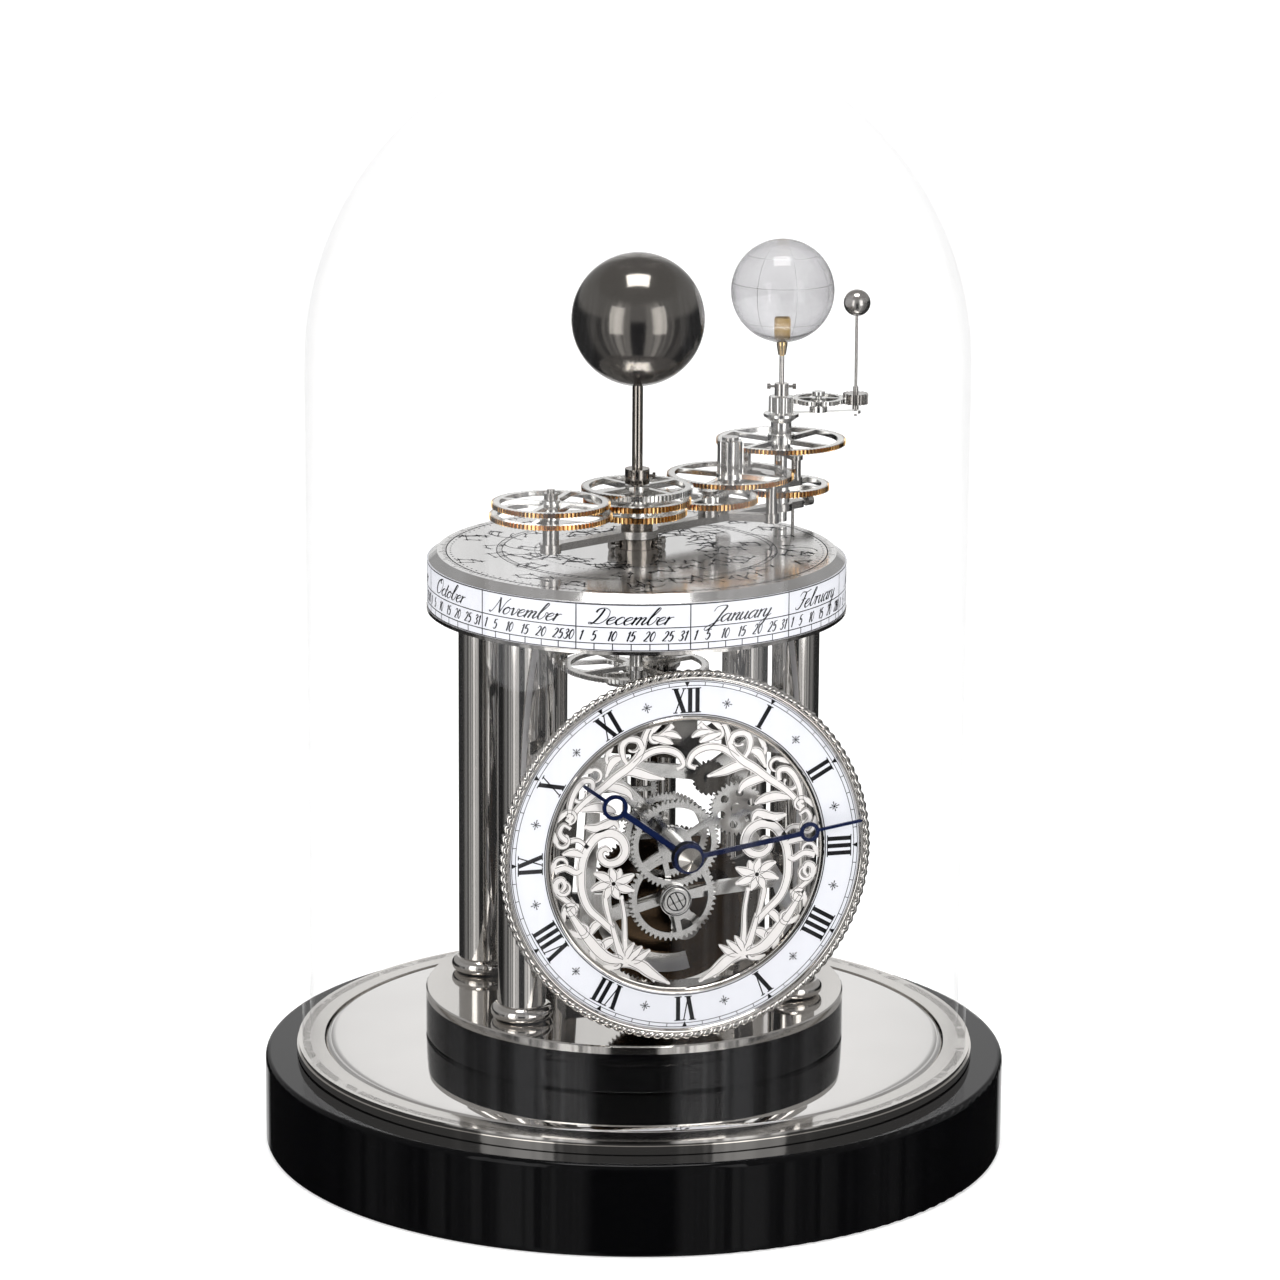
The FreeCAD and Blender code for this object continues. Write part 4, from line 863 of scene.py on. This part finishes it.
def fret_strips():
    """Middle line and widths of every strip of the right half of the fretwork."""
    strips = []
    for widths, points in FRET_SCROLLS:
        path = smooth_path(points, 5)
        strips.append((path, scroll_widths(len(path), *(FRET_FULLNESS * width for width in widths))))
    for width, points in FRET_LEAVES:
        path = smooth_path(points, 4)
        strips.append((path, leaf_widths(len(path), FRET_FULLNESS * width)))
    for turn, reach in FLOWER_PETALS:
        tip = polar(reach, turn)
        bend = polar(reach * 0.55, turn + 6)
        path = smooth_path([FLOWER, (FLOWER[0] + bend[0], FLOWER[1] + bend[1]),
                            (FLOWER[0] + tip[0], FLOWER[1] + tip[1])], 4)
        strips.append((path, leaf_widths(len(path), PETAL_WIDTH)))
    for number, turn in enumerate(CURL_TURNS):
        way = 1 if number % 2 else -1
        start = turn + 20 * way
        curl = arc(CURL_RADIUS, start, start + CURL_SWEEP * way, polar(CURL_MIDDLE, turn), 20)
        path = [polar(CURL_FOOT, turn - 3 * way), *curl]
        strips.append((path, scroll_widths(len(path), *CURL_WIDTHS)))
    return strips


def make_fretwork():
    """Pierced scrollwork with a leaf flower each side, engraved along its edges."""
    carving = Shape()
    cuts = Shape()
    for side in (1, -1):
        for number, (path, widths) in enumerate(fret_strips()):
            top = FRET_TOP + FRET_STEP * (number % FRET_LEVELS)
            mirrored = [(side * x, y) for x, y in path]
            relief(carving, mirrored, widths, FRET_BACK, top, on_dial)
            inside = list(zip(mirrored, sides_of(mirrored), widths))[1:-1]
            for edge in CUT_SIDES:
                cut = [(x + nx * width * edge, y + ny * width * edge)
                       for (x, y), (nx, ny), width in inside]
                line(cuts, cut, CUT_WIDTH, lambda x, y, depth=top + LIFT: on_dial(x, y, depth))
        disc(cuts, (side * FLOWER[0], FLOWER[1]), FLOWER_HEART,
             lambda x, y: on_dial(x, y, FRET_TOP + FLOWER_RISE), 16)
    made = piece("fretwork", carving, FRET_SILVER, "case")
    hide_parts("dial_fretwork")
    piece("fretwork_engraving", cuts, ENGRAVED, "case")


def make_cap_screw():
    """Two rings and a slot cut into the cap of the minute wheel."""
    cut = Shape()

    def on_cap(x, y):
        return on_dial(x, CAP_DROP + y, CAP_FRONT + LIFT)
    for radius, width in CAP_RINGS:
        line(cut, arc(radius, 0, 360), width, on_cap)
    for side in (-1.0, 1.0):
        ends = (SLOT_TURN + SLOT_SPREAD * side, SLOT_TURN + 180 - SLOT_SPREAD * side)
        line(cut, [polar(SLOT_REACH, turn) for turn in ends], SLOT_WIDTH, on_cap)
    piece("cap_screw_cut", cut, INK, "minute_wheel_set")


# ---------------------------------------------------------------- base and earth
def make_mirror():
    """Polished plate that falls away a little towards its edge."""
    plate = Shape()
    revolve(plate, MIRROR_OUTLINE, lambda x, y, level: (x, y, level), 240)
    made = piece("mirror_dish", plate, MIRROR, "case", smooth=True)
    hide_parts("mirror_plate")


def make_globe_details():
    """Flat brass tang set into the glass earth, and thin lines cut round the glass."""
    east, north = arm_point(EARTH_OUT)
    tang = Shape()
    revolve(tang, TANG_OUTLINE,
            lambda x, y, level: (east + TANG_BROAD * x, north + TANG_NARROW * y, level), 8)
    brass = metal("tang_brass", (0.72, 0.5, 0.22), 0.16, 0.28, 200.0)
    piece("globe_tang", tang, brass, "earth")
    lines = Shape()

    def on_globe(across, up):
        out, rise = polar(GLOBE_RADIUS, up)
        x, y = polar(out, across)
        return (east + x, north + y, GLOBE_HEIGHT + rise)
    for across in range(0, 360, 45):
        line(lines, [(across, up) for up in range(-75, 76, 5)], MERIDIAN_WIDTH, on_globe)
    for up in (-35, 10, 45):
        line(lines, [(across, up) for across in range(0, 361, 5)], PARALLEL_WIDTH, on_globe)
    cut = metal("globe_cut", (0.55, 0.55, 0.57), 0.3, 0.5, 300.0)
    piece("globe_lines", lines, cut, "earth")


# ---------------------------------------------------------------- calendar and chart
def make_calendar_print():
    """Months, dates and rules round the calendar band."""
    shape = Shape()
    round_band = 2 * math.pi * BAND_RADIUS
    per_day = round_band / DAYS_IN_YEAR
    for level, width in BAND_RULES:
        rule = [(round_band * i / RULE_STEPS, level) for i in range(RULE_STEPS + 1)]
        line(shape, rule, width, on_band)
    start = 0.0
    for name, days in MONTHS:
        end = start + days * per_day
        line(shape, [(start, TICK_RULE), (start, BAND_TOP)], MONTH_LINE, on_band)
        write(shape, name, (start + end) / 2 + NAME_SHIFT, NAME_BASELINE, *NAME_HAND)
        for date in (1, 5, 10, 15, 20, 25, days):
            place = start + date * per_day
            middle = place
            if date == 1:
                middle = start + FIRST_INSET
            elif date == days:
                middle = end - LAST_INSET
            write(shape, str(date), middle + DATE_SHIFT, DATE_BASELINE, *DATE_HAND)
            if 1 < date < days:
                line(shape, [(place, TICK_RULE), (place, NUMBER_RULE)], TICK_LINE, on_band)
        start = end
    piece("calendar_print", shape, INK, "case")


def on_chart(x, y):
    """Point on the star chart."""
    return (x, y, CHART_TOP + LIFT)


def engrave_star(shape, centre, reach):
    """Four-pointed star."""
    for turn in (0, 90):
        tip = polar(reach, turn)
        path = [(centre[0] - tip[0], centre[1] - tip[1]), centre,
                (centre[0] + tip[0], centre[1] + tip[1])]
        strip(shape, path, (0.04, reach * 0.45, 0.04), on_chart)


def make_chart_engraving():
    """Rings of ticks and beads, and made-up star groups joined by thin lines."""
    shape = Shape()
    draw = random.Random(11)
    for radius, width in CHART_CIRCLES:
        line(shape, arc(radius, 0, 360), width, on_chart)
    for degrees in range(0, 360, 2):
        head = TICK_HEAD if degrees % 10 else LONG_TICK_HEAD
        line(shape, [polar(TICK_FOOT, degrees), polar(head, degrees)], 0.3, on_chart)
    for degrees in range(0, 360, 3):
        line(shape, [polar(SCALE_INNER, degrees), polar(SCALE_OUTER, degrees)], 0.25, on_chart)
        for radius, size in BEAD_RINGS:
            disc(shape, polar(radius, degrees), size, on_chart, 8)
    for group in range(STAR_GROUPS):
        reach = draw.uniform(24, 66)
        middle = polar(reach, 360 * group * GOLDEN_TURN + draw.uniform(-4, 4))
        stars = []
        for number in range(draw.randint(4, 7)):
            away = polar(draw.uniform(1.5, 6.0), 360 * number / 6 + draw.uniform(-30, 30))
            stars.append((middle[0] + away[0], middle[1] + away[1]))
        line(shape, stars, STAR_LINE, on_chart)
        for star in stars:
            engrave_star(shape, star, draw.uniform(1.1, 2.0))
    for _ in range(SCROLL_COUNT):
        turn = draw.uniform(0, 360)
        centre = polar(draw.uniform(22, 62), turn)
        curve = arc(draw.uniform(3, 9), turn, turn + draw.uniform(60, 150), centre, 12)
        line(shape, curve, SCROLL_LINE, on_chart)
    piece("chart_engraving", shape, INK, "case")


# ---------------------------------------------------------------- stage
def panel(name, place, size, aim, strength):
    """Soft light panel aimed at a point."""
    data = bpy.data.lights.new(name, "AREA")
    data.shape = "RECTANGLE"
    data.size, data.size_y = size
    data.energy = strength
    lamp = bpy.data.objects.new(name, data)
    lamp.location = place
    lamp.rotation_euler = (Vector(aim) - Vector(place)).to_track_quat("-Z", "Y").to_euler()
    lamp.visible_camera = False
    lamp.visible_transmission = False
    bpy.context.scene.collection.objects.link(lamp)


def make_sweep():
    """Pale floor that curves up into a backdrop all round."""
    material, tree, shader = start_material("pale_floor")
    tone = noise(tree, 3.0)
    tree.links.new(blend_colours(tree, tone, (0.93, 0.93, 0.93, 1), (0.95, 0.95, 0.95, 1)),
                   shader.inputs["Base Color"])
    shader.inputs["Roughness"].default_value = 0.9
    shader.inputs["Specular IOR Level"].default_value = 0.1
    shader.inputs["Emission Color"].default_value = (1, 1, 1, 1)
    shader.inputs["Emission Strength"].default_value = 0.42
    profile = [(0.0, 0.0), (FLOOR_RADIUS, 0.0)]
    for turn in range(10, 91, 10):
        drop, out = polar(FLOOR_CURVE, turn)
        profile.append((FLOOR_RADIUS + out, FLOOR_CURVE - drop))
    profile.append((FLOOR_RADIUS + FLOOR_CURVE, BACKDROP_TOP))
    corners = []
    for step in range(FLOOR_SIDES):
        for radius, level in profile:
            corners.append((*polar(radius, 360 * step / FLOOR_SIDES), level))
    rows = len(profile)
    faces = []
    for step in range(FLOOR_SIDES):
        after = (step + 1) % FLOOR_SIDES
        for row in range(rows - 1):
            faces.append((step * rows + row, after * rows + row,
                          after * rows + row + 1, step * rows + row + 1))
    mesh = bpy.data.meshes.new("floor_sweep")
    mesh.from_pydata(corners, [], faces)
    mesh.materials.append(material)
    mesh.shade_smooth()
    sweep = bpy.data.objects.new("floor_sweep", mesh)
    bpy.context.scene.collection.objects.link(sweep)
    sweep.visible_glossy = False


def make_camera():
    """Camera at the photograph's angle."""
    data = bpy.data.cameras.new("camera")
    data.lens = CAMERA_LENS
    data.sensor_width = 36.0
    data.shift_y = CAMERA_SHIFT
    camera = bpy.data.objects.new("camera", data)
    camera.location = CAMERA_PLACE
    turn = Euler((math.radians(CAMERA_TILT), 0, math.radians(CAMERA_AZIMUTH))).to_matrix()
    roll = Matrix.Rotation(math.radians(CAMERA_ROLL), 3, "Z")
    camera.rotation_euler = (turn @ roll).to_euler()
    bpy.context.scene.collection.objects.link(camera)
    bpy.context.scene.camera = camera


def round_object(azimuth, distance, height):
    """Place round the object: azimuth 0 is towards the camera."""
    angle = math.radians(CAMERA_AZIMUTH - 90 + azimuth)
    return (distance * math.cos(angle), distance * math.sin(angle), height)


# brightness of the surroundings at angles from the camera's side round to the back
WORLD_STRIPES = ((0, 0.01), (12, 0.02), (18, 1.0), (36, 1.0), (48, 0.85), (54, 0.2), (60, 0.55),
                 (72, 0.1),
                 (84, 0.32), (100, 0.05), (114, 0.01), (158, 0.01), (166, 0.9), (180, 1.0))


# noise levels between which a streak fades, and how much light a streak lets through
STREAK_FADE = (0.40, 0.52)
STREAK_TONE = 0.22
# rise of a look, as the sine of its angle, over which each light comes in, and its brightness
SIDE_LIGHT_RISE = (0.02, 0.14)
SIDE_LIGHT = 0.4
CEILING_RISE = (0.5, 0.66)
CEILING = (0.34, 0.335, 0.33, 1)
STREAK_COLOUR = (0.01, 0.009, 0.008, 1)


def make_world():
    """Studio surroundings as polished metal sees them: white and black screens standing in a ring."""
    world = bpy.data.worlds.new("world")
    world.use_nodes = True
    tree = world.node_tree
    way = node(tree, "ShaderNodeMapping", {0: node(tree, "ShaderNodeTexCoord").outputs["Generated"],
                                           2: (0, 0, math.radians(-CAMERA_AZIMUTH))}).outputs[0]
    parts = node(tree, "ShaderNodeSeparateXYZ", {0: way}).outputs
    turn = calculate(tree, "ABSOLUTE", calculate(tree, "ARCTAN2", parts[0],
                                                 calculate(tree, "MULTIPLY", parts[1], -1.0)))
    ramp = node(tree, "ShaderNodeValToRGB", {0: calculate(tree, "DIVIDE", turn, math.pi)})
    stops = ramp.color_ramp.elements
    for number, (degrees, level) in enumerate(WORLD_STRIPES):
        stop = stops[number] if number < 2 else stops.new(degrees / 180)
        stop.position = degrees / 180
        stop.color = (level, level, level, 1)
    streaks = node(tree, "ShaderNodeTexNoise",
                   {"W": turn, "Scale": 7.0, "Detail": 2.0, "Roughness": 0.6},
                   noise_dimensions="1D").outputs[0]
    streaks = node(tree, "ShaderNodeMapRange",
                   {0: streaks, 1: STREAK_FADE[0], 2: STREAK_FADE[1], 3: STREAK_TONE, 4: 1.0})
    sides = blend_colours(tree, streaks.outputs[0], STREAK_COLOUR, ramp.outputs[0])
    above = node(tree, "ShaderNodeMapRange",
                 {0: parts[2], 1: SIDE_LIGHT_RISE[0], 2: SIDE_LIGHT_RISE[1], 3: 0.0, 4: SIDE_LIGHT})
    sides = node(tree, "ShaderNodeMix", {0: 1.0, 6: sides, 7: above.outputs[0]}, data_type="RGBA",
                 blend_type="LIGHTEN").outputs[2]
    rise = node(tree, "ShaderNodeMapRange", {0: parts[2], 1: CEILING_RISE[0], 2: CEILING_RISE[1]},
                interpolation_type="SMOOTHSTEP")
    light = blend_colours(tree, rise.outputs[0], sides, CEILING)
    background = tree.nodes["Background"]
    tree.links.new(light, background.inputs["Color"])
    bpy.context.scene.world = world


def make_lights():
    """Soft panels, two in front and one above, with strengths in watts, and plain colours."""
    aim = (0, 0, 0.2)
    for name, side in (("front_left", -38), ("front_right", 38)):
        panel(name, round_object(side, 1.6, 0.45), (0.7, 1.3), aim, 5)
    panel("overhead", round_object(0, 0.25, 1.9), (0.9, 0.7), aim, 14)
    bpy.context.scene.view_settings.view_transform = "Standard"


make_camera()
make_sweep()
make_world()
make_lights()
dress_nodes()
make_chapter_ring()
make_dial_print()
make_bezel()
make_inner_rim()
make_fretwork()
make_cap_screw()
make_mirror()
make_globe_details()
make_calendar_print()
make_chart_engraving()
